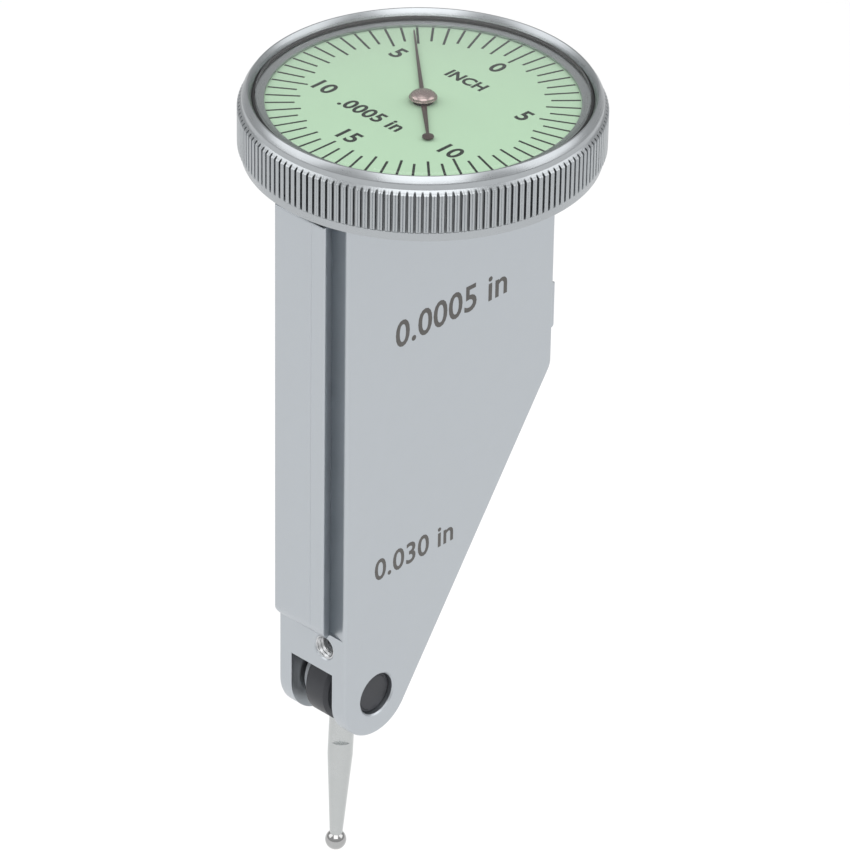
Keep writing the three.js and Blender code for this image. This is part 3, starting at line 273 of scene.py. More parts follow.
@dataclass
class Bench:
    """Makes meshes in millimetres in the dial's frame, and carries them into the part's frame."""

    dial: Vector = field(default_factory=lambda: Bench.dial_centre())

    @staticmethod
    def dial_centre() -> Vector:
        """The dial's centre on its upper face, in metres in the part's frame."""
        low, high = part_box("dial")
        return Vector(((low.x + high.x) / 2, (low.y + high.y) / 2, high.z))

    def span(self, node: str) -> tuple[Array, Array]:
        """A CAD node's lowest and highest corners in millimetres in the dial's frame."""
        low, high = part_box(node)
        return np.array(low - self.dial) / MM, np.array(high - self.dial) / MM

    def joint(self, name: str) -> Array:
        """A joint's position in millimetres in the dial's frame."""
        found = next(joint for joint in frame["joints"] if joint["name"] == name)
        return (np.array(found["pos_m"]) - np.array(self.dial)) / MM

    def solid(self, name: str, surface: Surface, crease: float = CREASE) -> bpy.types.Object:
        """Makes an object from a surface, with doubles merged, faces outwards and edges sharp past an angle.

        Args:
            name: The object's name.
            surface: Points and faces in millimetres in the dial's frame.
            crease: Angle in degrees past which an edge is sharp.

        Returns:
            The object, still in millimetres in the dial's frame.
        """
        points = np.concatenate(surface.points)
        sizes = np.concatenate(surface.sizes)
        corners = np.concatenate(surface.corners)
        mesh = bpy.data.meshes.new(name)
        mesh.vertices.add(len(points))
        mesh.vertices.foreach_set("co", points.astype(np.float32).ravel())
        mesh.loops.add(len(corners))
        mesh.loops.foreach_set("vertex_index", corners.astype(np.int32))
        mesh.polygons.add(len(sizes))
        mesh.polygons.foreach_set("loop_start", (np.cumsum(sizes) - sizes).astype(np.int32))
        mesh.update(calc_edges=True)
        mesh.validate()
        self.closed(mesh)
        piece = bpy.data.objects.new(name, mesh)
        bpy.context.scene.collection.objects.link(piece)
        self.shade(piece, crease)
        return piece

    @staticmethod
    def closed(mesh: bpy.types.Mesh) -> None:
        """Merges a mesh's doubles and turns its faces outwards."""
        work = bmesh.new()
        work.from_mesh(mesh)
        bmesh.ops.remove_doubles(work, verts=work.verts, dist=MERGE)
        bmesh.ops.recalc_face_normals(work, faces=work.faces)
        work.to_mesh(mesh)
        work.free()

    @staticmethod
    def shade(piece: bpy.types.Object, crease: float) -> None:
        """Shades a piece smooth, with edges sharp past an angle in degrees."""
        piece.data.shade_smooth()
        piece.data.set_sharp_from_angle(angle=math.radians(crease))

    def settle(self, piece: bpy.types.Object) -> None:
        """Carries a finished piece's mesh into the part's frame, in metres."""
        piece.data.transform(Matrix.Translation(self.dial) @ Matrix.Scale(MM, 4))

    def combine(self, base: bpy.types.Object, kind: Join, *tools: bpy.types.Object) -> bpy.types.Object:
        """Puts solids together one after another, and uses the tools up.

        Args:
            base: The solid that is kept.
            kind: Whether each tool is added, cut away, or sets what is kept.
            tools: The other solids.

        Returns:
            The base, with its new mesh.
        """
        for tool in tools:
            step = base.modifiers.new("join", "BOOLEAN")
            step.operation, step.solver, step.object = kind.value, "EXACT", tool
            graph = bpy.context.evaluated_depsgraph_get()
            mesh = bpy.data.meshes.new_from_object(base.evaluated_get(graph))
            base.modifiers.clear()
            base.data = mesh
            bpy.data.objects.remove(tool)
        return base

    def lettering(
        self, name: str, text: str, height: float, at: Array, right: Array, up: Array, weight: float = 0.0
    ) -> bpy.types.Object:
        """Thin printed lettering as a closed mesh.

        Args:
            name: The object's name.
            text: What it says.
            height: Height of a capital in millimetres.
            at: Centre of the text in millimetres in the dial's frame.
            right: Direction that the text runs in.
            up: Direction of the letters' tops.
            weight: How much each stroke is thickened on both of its sides.

        Returns:
            The object.
        """
        curve = bpy.data.curves.new(name, "FONT")
        curve.body, curve.size, curve.extrude = text, height / CAPITAL, INK / 2
        curve.align_x, curve.align_y, curve.resolution_u = "CENTER", "CENTER", 4
        curve.space_character, curve.offset = 1.04, weight
        flat = bpy.data.objects.new(name + "_curve", curve)
        bpy.context.scene.collection.objects.link(flat)
        mesh = bpy.data.meshes.new_from_object(flat.evaluated_get(bpy.context.evaluated_depsgraph_get()))
        bpy.data.objects.remove(flat)
        axes = Matrix((right, up, np.cross(right, up))).transposed().to_4x4()
        mesh.transform(Matrix.Translation(at) @ axes)
        self.closed(mesh)
        mesh.name = name
        piece = bpy.data.objects.new(name, mesh)
        bpy.context.scene.collection.objects.link(piece)
        return piece



# ---- Shader maths ----------------------------------------------------------------------------------------


class Signal:
    """A number that varies over a surface: one output socket, with arithmetic that adds Math nodes."""

    def __init__(self, board: "Board", socket: bpy.types.NodeSocket) -> None:
        """Wraps an output socket of a board."""
        self.board, self.socket = board, socket

    def _math(self, operation: str, *values: Any) -> "Signal":
        """The result of a Math node on the values, in order."""
        return self.board.read("ShaderNodeMath", {"operation": operation}, dict(enumerate(values)))

    def __add__(self, other: Any) -> "Signal":
        """This number plus the other."""
        return self._math("ADD", self, other)

    __radd__ = __add__

    def __sub__(self, other: Any) -> "Signal":
        """This number minus the other."""
        return self._math("SUBTRACT", self, other)

    def __rsub__(self, other: Any) -> "Signal":
        """The other minus this number."""
        return self._math("SUBTRACT", other, self)

    def __mul__(self, other: Any) -> "Signal":
        """This number times the other."""
        return self._math("MULTIPLY", self, other)

    __rmul__ = __mul__

    def __pow__(self, other: Any) -> "Signal":
        """This number to a power."""
        return self._math("POWER", self, other)

    def between(self, low: float, high: float) -> "Signal":
        """0 below the low value, 1 above the high one, and smooth between them."""
        return self.board.read(
            "ShaderNodeMapRange",
            {"interpolation_type": "SMOOTHSTEP"},
            {"Value": self, "From Min": low, "From Max": high},
        )


class Board:
    """The node tree of one material, and the one method that adds a node to it."""

    def __init__(self, name: str) -> None:
        """Makes an empty material with an output."""
        self.material = bpy.data.materials.new(name)
        self.material.use_nodes = True
        self.tree = self.material.node_tree
        self.tree.nodes.clear()
        self.output = self.tree.nodes.new("ShaderNodeOutputMaterial")

    def node(
        self, kind: str, settings: dict[str, Any] | None = None, inputs: dict[Any, Any] | None = None
    ) -> Any:
        """Adds a node.

        Args:
            kind: The node's type.
            settings: Its properties.
            inputs: A value, a signal or a socket for each input, by name or number.

        Returns:
            The node.
        """
        node = self.tree.nodes.new(kind)
        for key, value in (settings or {}).items():
            setattr(node, key, value)
        for key, value in (inputs or {}).items():
            value = getattr(value, "socket", value)
            if isinstance(value, bpy.types.NodeSocket):
                self.tree.links.new(value, node.inputs[key])
            else:
                node.inputs[key].default_value = value
        return node

    def read(self, kind: str, settings: dict[str, Any] | None = None, inputs: dict[Any, Any] | None = None,
             output: Any = 0) -> Signal:
        """Adds a node and gives one of its outputs as a signal."""
        return Signal(self, self.node(kind, settings, inputs).outputs[output])

    def place(self, centre: Vector | None = None) -> Signal:
        """Object coordinates in metres, counted from a centre."""
        coordinates = self.read("ShaderNodeTexCoord", output="Object")
        if centre is None:
            return coordinates
        back = [-value for value in centre]
        return self.read("ShaderNodeMapping", None, {"Vector": coordinates, "Location": back})

    def noise(self, where: Signal, size: float, detail: float = 2.0, rough: float = 0.5) -> Signal:
        """A soft random pattern from 0 to 1 whose lumps are about one size in millimetres."""
        inputs = {"Vector": where, "Scale": 1 / (size * MM), "Detail": detail, "Roughness": rough}
        return self.read("ShaderNodeTexNoise", None, inputs, "Fac")

    def rings(self, where: Signal, size: float) -> Signal:
        """Lines left by turning: noise over the distance from the Z axis and the height alone."""
        parts = self.node("ShaderNodeSeparateXYZ", None, {"Vector": where}).outputs
        x, y = Signal(self, parts["X"]), Signal(self, parts["Y"])
        flat = self.read("ShaderNodeCombineXYZ", None, {"X": (x * x + y * y) ** 0.5, "Y": parts["Z"]})
        return self.noise(flat, size, 3.0)

    def blend(self, share: Any, first: Colour, second: Colour) -> Any:
        """A colour between two, by a share from 0 to 1."""
        mix = {"data_type": "RGBA", "blend_type": "MIX"}
        node = self.node("ShaderNodeMix", mix, {"Factor": share, 6: (*first, 1.0), 7: (*second, 1.0)})
        return node.outputs[2]

    def bump(self, height: Signal, depth: float, strength: float) -> Any:
        """A normal from a height pattern, with its depth in millimetres."""
        inputs = {"Height": height, "Distance": depth * MM, "Strength": strength}
        return self.node("ShaderNodeBump", None, inputs).outputs["Normal"]

    def finish(self, inputs: dict[str, Any]) -> bpy.types.Material:
        """Ends the material in a Principled shader with these inputs."""
        shader = self.node("ShaderNodeBsdfPrincipled", None, inputs)
        self.tree.links.new(shader.outputs["BSDF"], self.output.inputs["Surface"])
        return self.material


# ---- Finishes --------------------------------------------------------------------------------------------


@dataclass(frozen=True)
class Finish:
    """A plain surface with a faint mottle in its colour and a fine grain."""

    name: str
    colour: Colour
    roughness: float
    metallic: float = 0.0
    mottle: float = 0.06
    mottle_size: float = 1.6
    grain: float = 0.08
    grain_depth: float = 0.004
    coat: float = 0.0

    def shade_of(self, factor: float) -> Colour:
        """The base colour made lighter or darker by a factor."""
        return tuple(min(1.0, channel * factor) for channel in self.colour)

    def tone(self, board: Board) -> tuple[dict[str, Any], Signal]:
        """The shader's inputs apart from the normal, with mottled colour and uneven gloss, and the grain."""
        where = board.place()
        cloud = board.noise(where, self.mottle_size, 4.0)
        fine = board.noise(where, self.grain, 2.0)
        inputs = {
            "Base Color": board.blend(cloud, self.shade_of(1 - self.mottle), self.shade_of(1 + self.mottle)),
            "Metallic": self.metallic,
            "Roughness": self.roughness + (cloud - 0.5) * 0.1 + (fine - 0.5) * 0.08,
            "Coat Weight": self.coat,
        }
        return inputs, fine

    def pattern(self, board: Board) -> dict[str, Any]:
        """The inputs of the shader, with the grain in its normal."""
        inputs, fine = self.tone(board)
        inputs["Normal"] = board.bump(fine, self.grain_depth, 0.5)
        return inputs

    def material(self) -> bpy.types.Material:
        """The finished material."""
        board = Board(self.name)
        return board.finish(self.pattern(board))


@dataclass(frozen=True)
class TurnedFinish(Finish):
    """Metal with the fine rings that a lathe leaves round the dial's axis."""

    ring_size: float = 0.06
    ring_depth: float = 0.004

    def pattern(self, board: Board) -> dict[str, Any]:
        """The plain tone with rings in its height and gloss."""
        inputs, _ = self.tone(board)
        rings = board.rings(board.place(Bench.dial_centre()), self.ring_size)
        inputs["Roughness"] = inputs["Roughness"] + (rings - 0.5) * 0.16
        inputs["Normal"] = board.bump(rings, self.ring_depth, 0.6)
        return inputs


@dataclass(frozen=True)
class KnurledFinish(TurnedFinish):
    """Turned metal with painted shade in the valleys of a knurled band, which are rougher too."""

    valley: float = 13.5
    land: float = 13.7
    band_top: float = -0.1
    band_foot: float = -3.44
    top_fade: float = 0.1
    foot_fade: float = 0.03
    # Painted shade: how dark the base colour turns in the knurl's valleys.
    valley_painted_shade: float = 0.42
    valley_roughness: float = 0.15

    def pattern(self, board: Board) -> dict[str, Any]:
        """The turned pattern, darker and rougher where the radius in the band is less than the lands'; the
        darkening is painted shade.
        """
        inputs = super().pattern(board)
        where = board.place(Bench.dial_centre())
        parts = board.node("ShaderNodeSeparateXYZ", None, {"Vector": where}).outputs
        x, y, z = (Signal(board, parts[axis]) for axis in "XYZ")
        depth = 1 - ((x * x + y * y) ** 0.5).between(self.valley * MM, self.land * MM)
        band = z.between((self.band_foot - self.foot_fade) * MM, self.band_foot * MM)
        band = band * (1 - z.between((self.band_top - self.top_fade) * MM, self.band_top * MM))
        # Painted shade: the base colour darkens in the knurl's valleys, where shade falls between the teeth.
        painted_shade = depth * band
        inputs["Base Color"] = board.blend(painted_shade, self.colour, self.shade_of(self.valley_painted_shade))
        inputs["Roughness"] = inputs["Roughness"] + painted_shade * self.valley_roughness
        return inputs


@dataclass(frozen=True)
class CrystalFinish(Finish):
    """Clear plastic: light passes straight through, and a little of it is mirrored."""

    mirrored: float = 0.02

    def material(self) -> bpy.types.Material:
        """A mix of a clear and a mirror shader, by how much the surface mirrors at each angle."""
        board = Board(self.name)
        clear = board.node("ShaderNodeBsdfTransparent", None, {"Color": (*self.colour, 1.0)})
        mirror = board.node("ShaderNodeBsdfGlossy", None, {"Roughness": self.roughness})
        slant = board.read("ShaderNodeLayerWeight", None, {"Blend": 0.5}, "Facing")
        share = self.mirrored + (1 - self.mirrored) * slant ** 5.0
        smear = board.noise(board.place(), self.mottle_size, 3.0)
        mix = board.node("ShaderNodeMixShader", None, {
            0: share * (0.9 + smear * 0.2), 1: clear.outputs[0], 2: mirror.outputs[0]})
        board.tree.links.new(mix.outputs[0], board.output.inputs["Surface"])
        return board.material


FINISHES: dict[str, Finish] = {
    "satin_chrome": Finish(
        "satin_chrome", (0.46, 0.488, 0.515), 0.4, 1.0, mottle=0.03, grain=0.1, grain_depth=0.003),
    # Painted shade: the bezel is the same chrome as the housing, with its colour set darker to stand in for the
    # dimmer light its faces mirror.
    "bezel_chrome": KnurledFinish("bezel_chrome", (0.39, 0.41, 0.425), 0.3, 1.0),
    "clear_crystal": CrystalFinish("clear_crystal", (0.985, 0.99, 0.987), 0.03),
    "dial_green": Finish("dial_green", (0.44, 0.62, 0.44), 0.6, mottle=0.012, grain=0.05, grain_depth=0.001),
    "brass": Finish("brass", (0.72, 0.55, 0.27), 0.3, 1.0),
    "steel": Finish("steel", (0.55, 0.56, 0.57), 0.34, 1.0),
    "polished_steel": Finish("polished_steel", (0.4, 0.4, 0.4), 0.1, 1.0, grain_depth=0.0005),
    "stylus_steel": Finish("stylus_steel", (0.47, 0.485, 0.485), 0.26, 1.0, mottle=0.05),
    "blackened_steel": Finish("blackened_steel", (0.045, 0.047, 0.053), 0.45, 0.5, mottle=0.2),
    "ruby": Finish("ruby", (0.45, 0.02, 0.08), 0.08),
    "rubber": Finish("rubber", (0.02, 0.02, 0.021), 0.7, mottle=0.15),
    "pointer_brown": Finish("pointer_brown", (0.035, 0.017, 0.014), 0.35, coat=0.3),
    "cap_metal": TurnedFinish("cap_metal", (0.42, 0.33, 0.32), 0.26, 1.0, mottle=0.08),
    "print_black": Finish("print_black", (0.008, 0.012, 0.01), 0.55, mottle=0.2),
    "print_grey": Finish("print_grey", (0.09, 0.085, 0.08), 0.6, mottle=0.25, mottle_size=0.4),
}


class Wardrobe:
    """Makes each finish once and dresses pieces in it."""

    def __init__(self) -> None:
        """Starts with no material made."""
        self.made: dict[str, bpy.types.Material] = {}

    def material(self, name: str) -> bpy.types.Material:
        """The material of that name, made at its first use."""
        if name not in self.made:
            self.made[name] = FINISHES[name].material()
        return self.made[name]

    def dress(self, piece: bpy.types.Object, name: str) -> None:
        """Gives a piece one material in all of its slots."""
        if not piece.data.materials:
            piece.data.materials.append(None)
        for slot in piece.material_slots:
            slot.link = "OBJECT"
            slot.material = self.material(name)

    def dress_frame(self) -> None:
        """Dresses every CAD node by its slot in the record."""
        for part in frame["record"]["subparts"]:
            self.dress(frame["nodes"][part["node"]], part["material_slot"])


@dataclass
class SubAssembly:
    """What every sub-assembly shares: its bench, its wardrobe and its body."""

    bench: Bench
    wardrobe: Wardrobe
    body: str = "frame"

    def place(self, piece: bpy.types.Object, finish: str, *nodes: str, slot: str = "") -> bpy.types.Object:
        """Dresses a piece, sets it on its body and hides the CAD nodes that it stands for.

        Args:
            piece: The piece.
            finish: The name of its finish.
            nodes: The CAD nodes that it replaces.
            slot: Not used; meant as the record's slot, where it isn't the finish's own name.

        Returns:
            The piece.
        """
        self.bench.settle(piece)
        self.wardrobe.dress(piece, finish)
        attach(piece, self.body)
        slot or finish
        if nodes:
            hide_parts(*nodes)
        log.info("%s: %d faces on %s", piece.name, len(piece.data.polygons), self.body)
        return piece

    def add(
        self, name: str, surface: Surface, finish: str, *nodes: str, crease: float = CREASE, slot: str = ""
    ) -> bpy.types.Object:
        """Makes a piece from a surface and places it, with the arguments of `Bench.solid` and `place`."""
        return self.place(self.bench.solid(name, surface, crease), finish, *nodes, slot=slot)


# ---- Housing ---------------------------------------------------------------------------------------------


@dataclass
class Housing(SubAssembly):
    """The blade with its dovetails and fork, under the round head that the bezel turns on."""

    left: float = -11.39
    right: float = 11.05
    half: float = 3.575
    edge: float = 0.24
    taper_top: float = -25.8
    taper_radius: float = 1.6
    fork_radius: float = 3.55
    wide_wall: float = 1.275
    side_wall: float = 1.6
    rail_height: float = 1.5
    rail_width: float = 5.4
    rail_top: float = -4.6
    rail_foot: float = -41.3
    rail_ramp: float = 1.9
    rail_edge: float = 0.16
    undercut: float = math.radians(30)
    relief_depth: float = 0.45
    seam_offset: float = -1.25
    stub_height: float = 1.3
    stub_top: float = -19.4
    stub_foot: float = -23.6
    stub_ramp: float = 0.8
    slot_width: float = 4.4
    slot_rise: float = 2.8
    throat_near: float = -1.8
    throat_far: float = 2.05
    throat_rise: float = 0.8
    bore_radius: float = 1.745
    bore_rim: float = 0.13
    hub_space: float = 3.65
    screw_radius: float = 0.97
    screw_y: float = -1.29
    screw_z: float = -42.62
    plate_hole_radius: float = 0.5
    head_radius: float = 12.65
    head_top: float = -1.05
    head_bottom: float = -4.1
    floor_thickness: float = 0.8
    head_wall: float = 1.05

    def __post_init__(self) -> None:
        """Takes the pivot's place from the frame."""
        at = self.bench.joint("stylus_swivel")
        self.pivot_x, self.pivot_z = float(at[0]), float(at[2])

    def slant(self) -> tuple[float, float]:
        """The angle at which the slanted side touches the fork's round end, and its own slope."""
        dx, dz = self.right - self.pivot_x, self.taper_top - self.pivot_z
        touch = math.atan2(dz, dx) - math.acos(self.fork_radius / math.hypot(dx, dz))
        x = self.pivot_x + self.fork_radius * math.cos(touch)
        z = self.pivot_z + self.fork_radius * math.sin(touch)
        return touch, math.atan2(self.taper_top - z, self.right - x)

    def blade(self) -> bpy.types.Object:
        """The blade: its outline ends in the fork's arc, and its rims are rounded."""
        touch, rise = self.slant()
        bend = math.pi / 2 - rise
        top = self.head_bottom + self.floor_thickness / 2
        tangent = self.taper_radius * math.tan(bend / 2)
        middle = (self.right - self.taper_radius, self.taper_top + tangent)
        corner = arc(middle, self.taper_radius, -bend, 0, 16)
        fork = arc((self.pivot_x, self.pivot_z), self.fork_radius, -math.pi, touch, 72)
        outline = np.vstack([[self.left, top], fork, corner, [self.right, top]])
        return self.bench.solid("housing_body", slab(outline, -self.half, self.half, Lie.ALONG_Y, self.edge))

    def dovetail(self, height: float, top: float, foot: float, ramp: float) -> tuple[Array, Array]:
        """The section of a dovetail that stands out of x = 0 towards -X, and its side view.

        Args:
            height: How far it stands out.
            top: Its upper end.
            foot: Its lower end.
            ramp: Radius of the rounded ramp at its foot.

        Returns:
            The section in (x, y) and the side view in (x, z), both counter-clockwise.
        """
        half, depth = self.rail_width / 2, self.relief_depth + 0.3
        root = half - (height + depth) * math.tan(self.undercut)
        section = rounded([
            (-height, half, self.rail_edge), (-height, -half, self.rail_edge), (depth, -root), (depth, root)])
        ramp_arc = arc((ramp - height, foot + ramp), ramp, math.pi, 1.5 * math.pi, 16)
        crown = rounded([(depth, top), (-height, top, 0.15), (-height, foot + ramp)], closed=False)
        return without_repeats(section), without_repeats(np.vstack([crown, ramp_arc, [depth, foot]]))

    def rail(
        self, shift: float, height: float, top: float, foot: float, ramp: float, mirrored: bool
    ) -> bpy.types.Object:
        """A dovetail solid: its section run up its length, kept inside its side view."""
        section, side = self.dovetail(height, top, foot, ramp)
        if mirrored:
            section, side = (section * [-1, 1])[::-1], (side * [-1, 1])[::-1]
        run = self.bench.solid("run", slab(section + [shift, 0], foot, top))
        view = self.bench.solid("view", slab(side + [shift, 0], -FAR, FAR, Lie.ALONG_Y))
        return self.bench.combine(run, Join.KEEP, view)

    def relief(self) -> bpy.types.Object:
        """The milled relief beside the rail: deepest at the flanks' feet and nothing at the blade's edges."""
        edge, deep = self.half - self.edge, self.left + self.relief_depth
        out = self.left - 0.5
        section = np.array([
            [out, -edge], [self.left, -edge], [deep, -0.5], [deep, 0.5], [self.left, edge], [out, edge]])
        run_out = arc((out, self.rail_foot + 2.3), 2.2, -math.pi / 2, 0, 20)
        side = np.vstack([run_out, [out + 2.2, self.head_bottom], [out, self.head_bottom]])
        run = self.bench.solid("run", slab(section, self.rail_foot, self.head_bottom))
        view = self.bench.solid("view", slab(side, -FAR, FAR, Lie.ALONG_Y))
        return self.bench.combine(run, Join.KEEP, view)

    def seam(self) -> bpy.types.Object:
        """The fine line along the rail's face: a V groove."""
        face, wide, deep = self.left - self.rail_height, 0.07, 0.07
        section = np.array([
            [face - 0.1, self.seam_offset - 2 * wide], [face, self.seam_offset - wide],
            [face + deep, self.seam_offset],
            [face, self.seam_offset + wide], [face - 0.1, self.seam_offset + 2 * wide]])
        return self.bench.solid("seam", slab(section, self.rail_foot, self.rail_top + 1))

    def head(self) -> bpy.types.Object:
        """The round head: a dish that holds the movement, turned about the dial's axis."""
        floor, wall = self.head_bottom + self.floor_thickness, self.head_radius - self.head_wall
        profile = rounded([
            (0, self.head_bottom),
            (self.head_radius, self.head_bottom, 0.2), (self.head_radius, self.head_top, 0.1),
            (wall, self.head_top, 0.05), (wall, floor, 0.1), (0, floor)])
        return self.bench.solid("head", lathe(without_repeats(profile), ROUND))

    def lever_space(self) -> bpy.types.Object:
        """The space for the lever: the blade's outline drawn in by its walls, open to the head."""
        _, rise = self.slant()
        left, right = self.left + self.side_wall, self.right - self.side_wall
        bottom, top = self.pivot_z + self.hub_space + 0.5, self.head_bottom + self.floor_thickness + 0.5

        def slanted(z: float) -> float:
            """Where the slanted wall's inner face is at a height."""
            return self.right + (z - self.taper_top) / math.tan(rise) - self.side_wall / math.sin(rise)

        knee = self.taper_top + (right - slanted(self.taper_top)) * math.tan(rise)
        outline = np.array([
            [left, bottom], [slanted(bottom), bottom], [right, knee], [right, top], [left, top]])
        reach = self.half - self.wide_wall
        return self.bench.solid("space", slab(outline, -reach, reach, Lie.ALONG_Y))

    def fork_cuts(self) -> list[bpy.types.Object]:
        """The slot, the round space for the hub, the throat over it and the two bores."""
        half, pivot = self.slot_width / 2, (self.pivot_x, 0, self.pivot_z)
        top = self.pivot_z + self.slot_rise
        slot = np.array([[-FAR, -FAR - 50], [FAR, -FAR - 50], [FAR, top], [-FAR, top]])
        space = np.array([(0, -half), (self.hub_space, -half), (self.hub_space, half), (0, half)])
        near, far, low = self.throat_near, self.throat_far, self.pivot_z
        high = self.pivot_z + self.hub_space + self.throat_rise
        throat = np.array([[near, low], [far, low], [far, high], [near, high]])
        rim = self.half + 0.01
        bore = np.array([
            (0, -rim), (self.bore_radius + self.bore_rim, -rim), (self.bore_radius, self.bore_rim - rim),
            (self.bore_radius, rim - self.bore_rim), (self.bore_radius + self.bore_rim, rim), (0, rim)])
        return [
            self.bench.solid("slot", slab(slot, -half, half, Lie.ALONG_Y)),
            self.bench.solid("space", lathe(space, SMALL_ROUND, Lie.ALONG_Y, pivot)),
            self.bench.solid("throat", slab(throat + [self.pivot_x, 0], -half, half, Lie.ALONG_Y)),
            self.bench.solid("bore", lathe(bore, SMALL_ROUND, Lie.ALONG_Y, pivot)),
        ]

    def holes(self) -> list[bpy.types.Object]:
        """The set screw's hole, with its mouth broken, and the three screw holes in the head's floor."""
        r, rim = self.screw_radius, 0.09
        hole = np.array([(0, -0.2), (r + rim + 0.2, -0.2), (r, rim), (r, 3), (0, 3)])
        mouth = (self.left, self.screw_y, self.screw_z)
        made = [self.bench.solid("hole", lathe(hole, 64, Lie.ALONG_X, mouth))]
        for node in ("plate_screw_1", "plate_screw_2", "plate_screw_3"):
            low, high = self.bench.span(node)
            x, y = (low[:2] + high[:2]) / 2
            pin = np.array([(0, -FAR), (self.plate_hole_radius, -FAR), (self.plate_hole_radius, 0), (0, 0)])
            made.append(self.bench.solid("hole", lathe(pin, 32, Lie.UP, (x, y, 0))))
        return made

    def thread(self) -> Surface:
        """The thread in the set screw's hole: a sleeve whose inner radius follows a helix.

        At depth d and angle t the inner radius is the crest's plus the thread's depth times a triangle wave
        of d / pitch - t / (2 pi).
        """
        pitch, depth, crest, sleeve = 0.32, 0.14, self.screw_radius - 0.15, self.screw_radius + 0.06
        along = np.linspace(0.1, self.side_wall - 0.05, 60)[:, None]
        angle = np.linspace(0, 2 * np.pi, 72, endpoint=False)[None, :]
        phase = (along / pitch - angle / (2 * np.pi)) % 1.0
        inner = crest + depth * np.abs(2 * phase - 1)
        inner = np.vstack([inner, np.full((2, 72), sleeve)])
        along = np.vstack([along, along[[-1, 0]]])
        grid = np.stack([inner * np.cos(angle), inner * np.sin(angle), along + 0 * angle], axis=-1)
        place = np.array([self.left, self.screw_y, self.screw_z])
        return Surface().grid(Lie.ALONG_X.apply(grid) + place, wrap_rows=True)

    def mark(self, name: str, text: str, height: float, x: float, z: float, weight: float) -> None:
        """Prints a line of text on the wide face, centred at x and z."""
        at, across, up = np.array([x, -self.half, z]), np.array([1.0, 0, 0]), np.array([0, 0, 1.0])
        line = self.bench.lettering(name, text, height, at, across, up, weight)
        self.place(line, "print_grey", slot="satin_chrome")

    def build(self) -> None:
        """Builds the housing, its thread and its two marked lines."""
        body = self.bench.combine(self.blade(), Join.CUT, self.relief())
        main = self.rail(self.left, self.rail_height, self.rail_top, self.rail_foot, self.rail_ramp, False)
        rear = self.rail(self.right, self.stub_height, self.stub_top, self.stub_foot, self.stub_ramp, True)
        body = self.bench.combine(body, Join.ADD, self.head(), main, rear)
        cuts = [self.seam(), self.lever_space(), *self.fork_cuts(), *self.holes()]
        body = self.bench.combine(body, Join.CUT, *cuts)
        self.bench.closed(body.data)
        self.bench.shade(body, 30)
        self.place(body, "satin_chrome", "housing")
        self.add("set_screw_thread", self.thread(), "steel", crease=20)
        self.mark("marking_upper", "0.0005 in", 2.3, -0.2, -16.2, 0.05)
        self.mark("marking_lower", "0.030 in", 1.9, -3.9, -36.2, 0.04)


# ---- Dial head -------------------------------------------------------------------------------------------


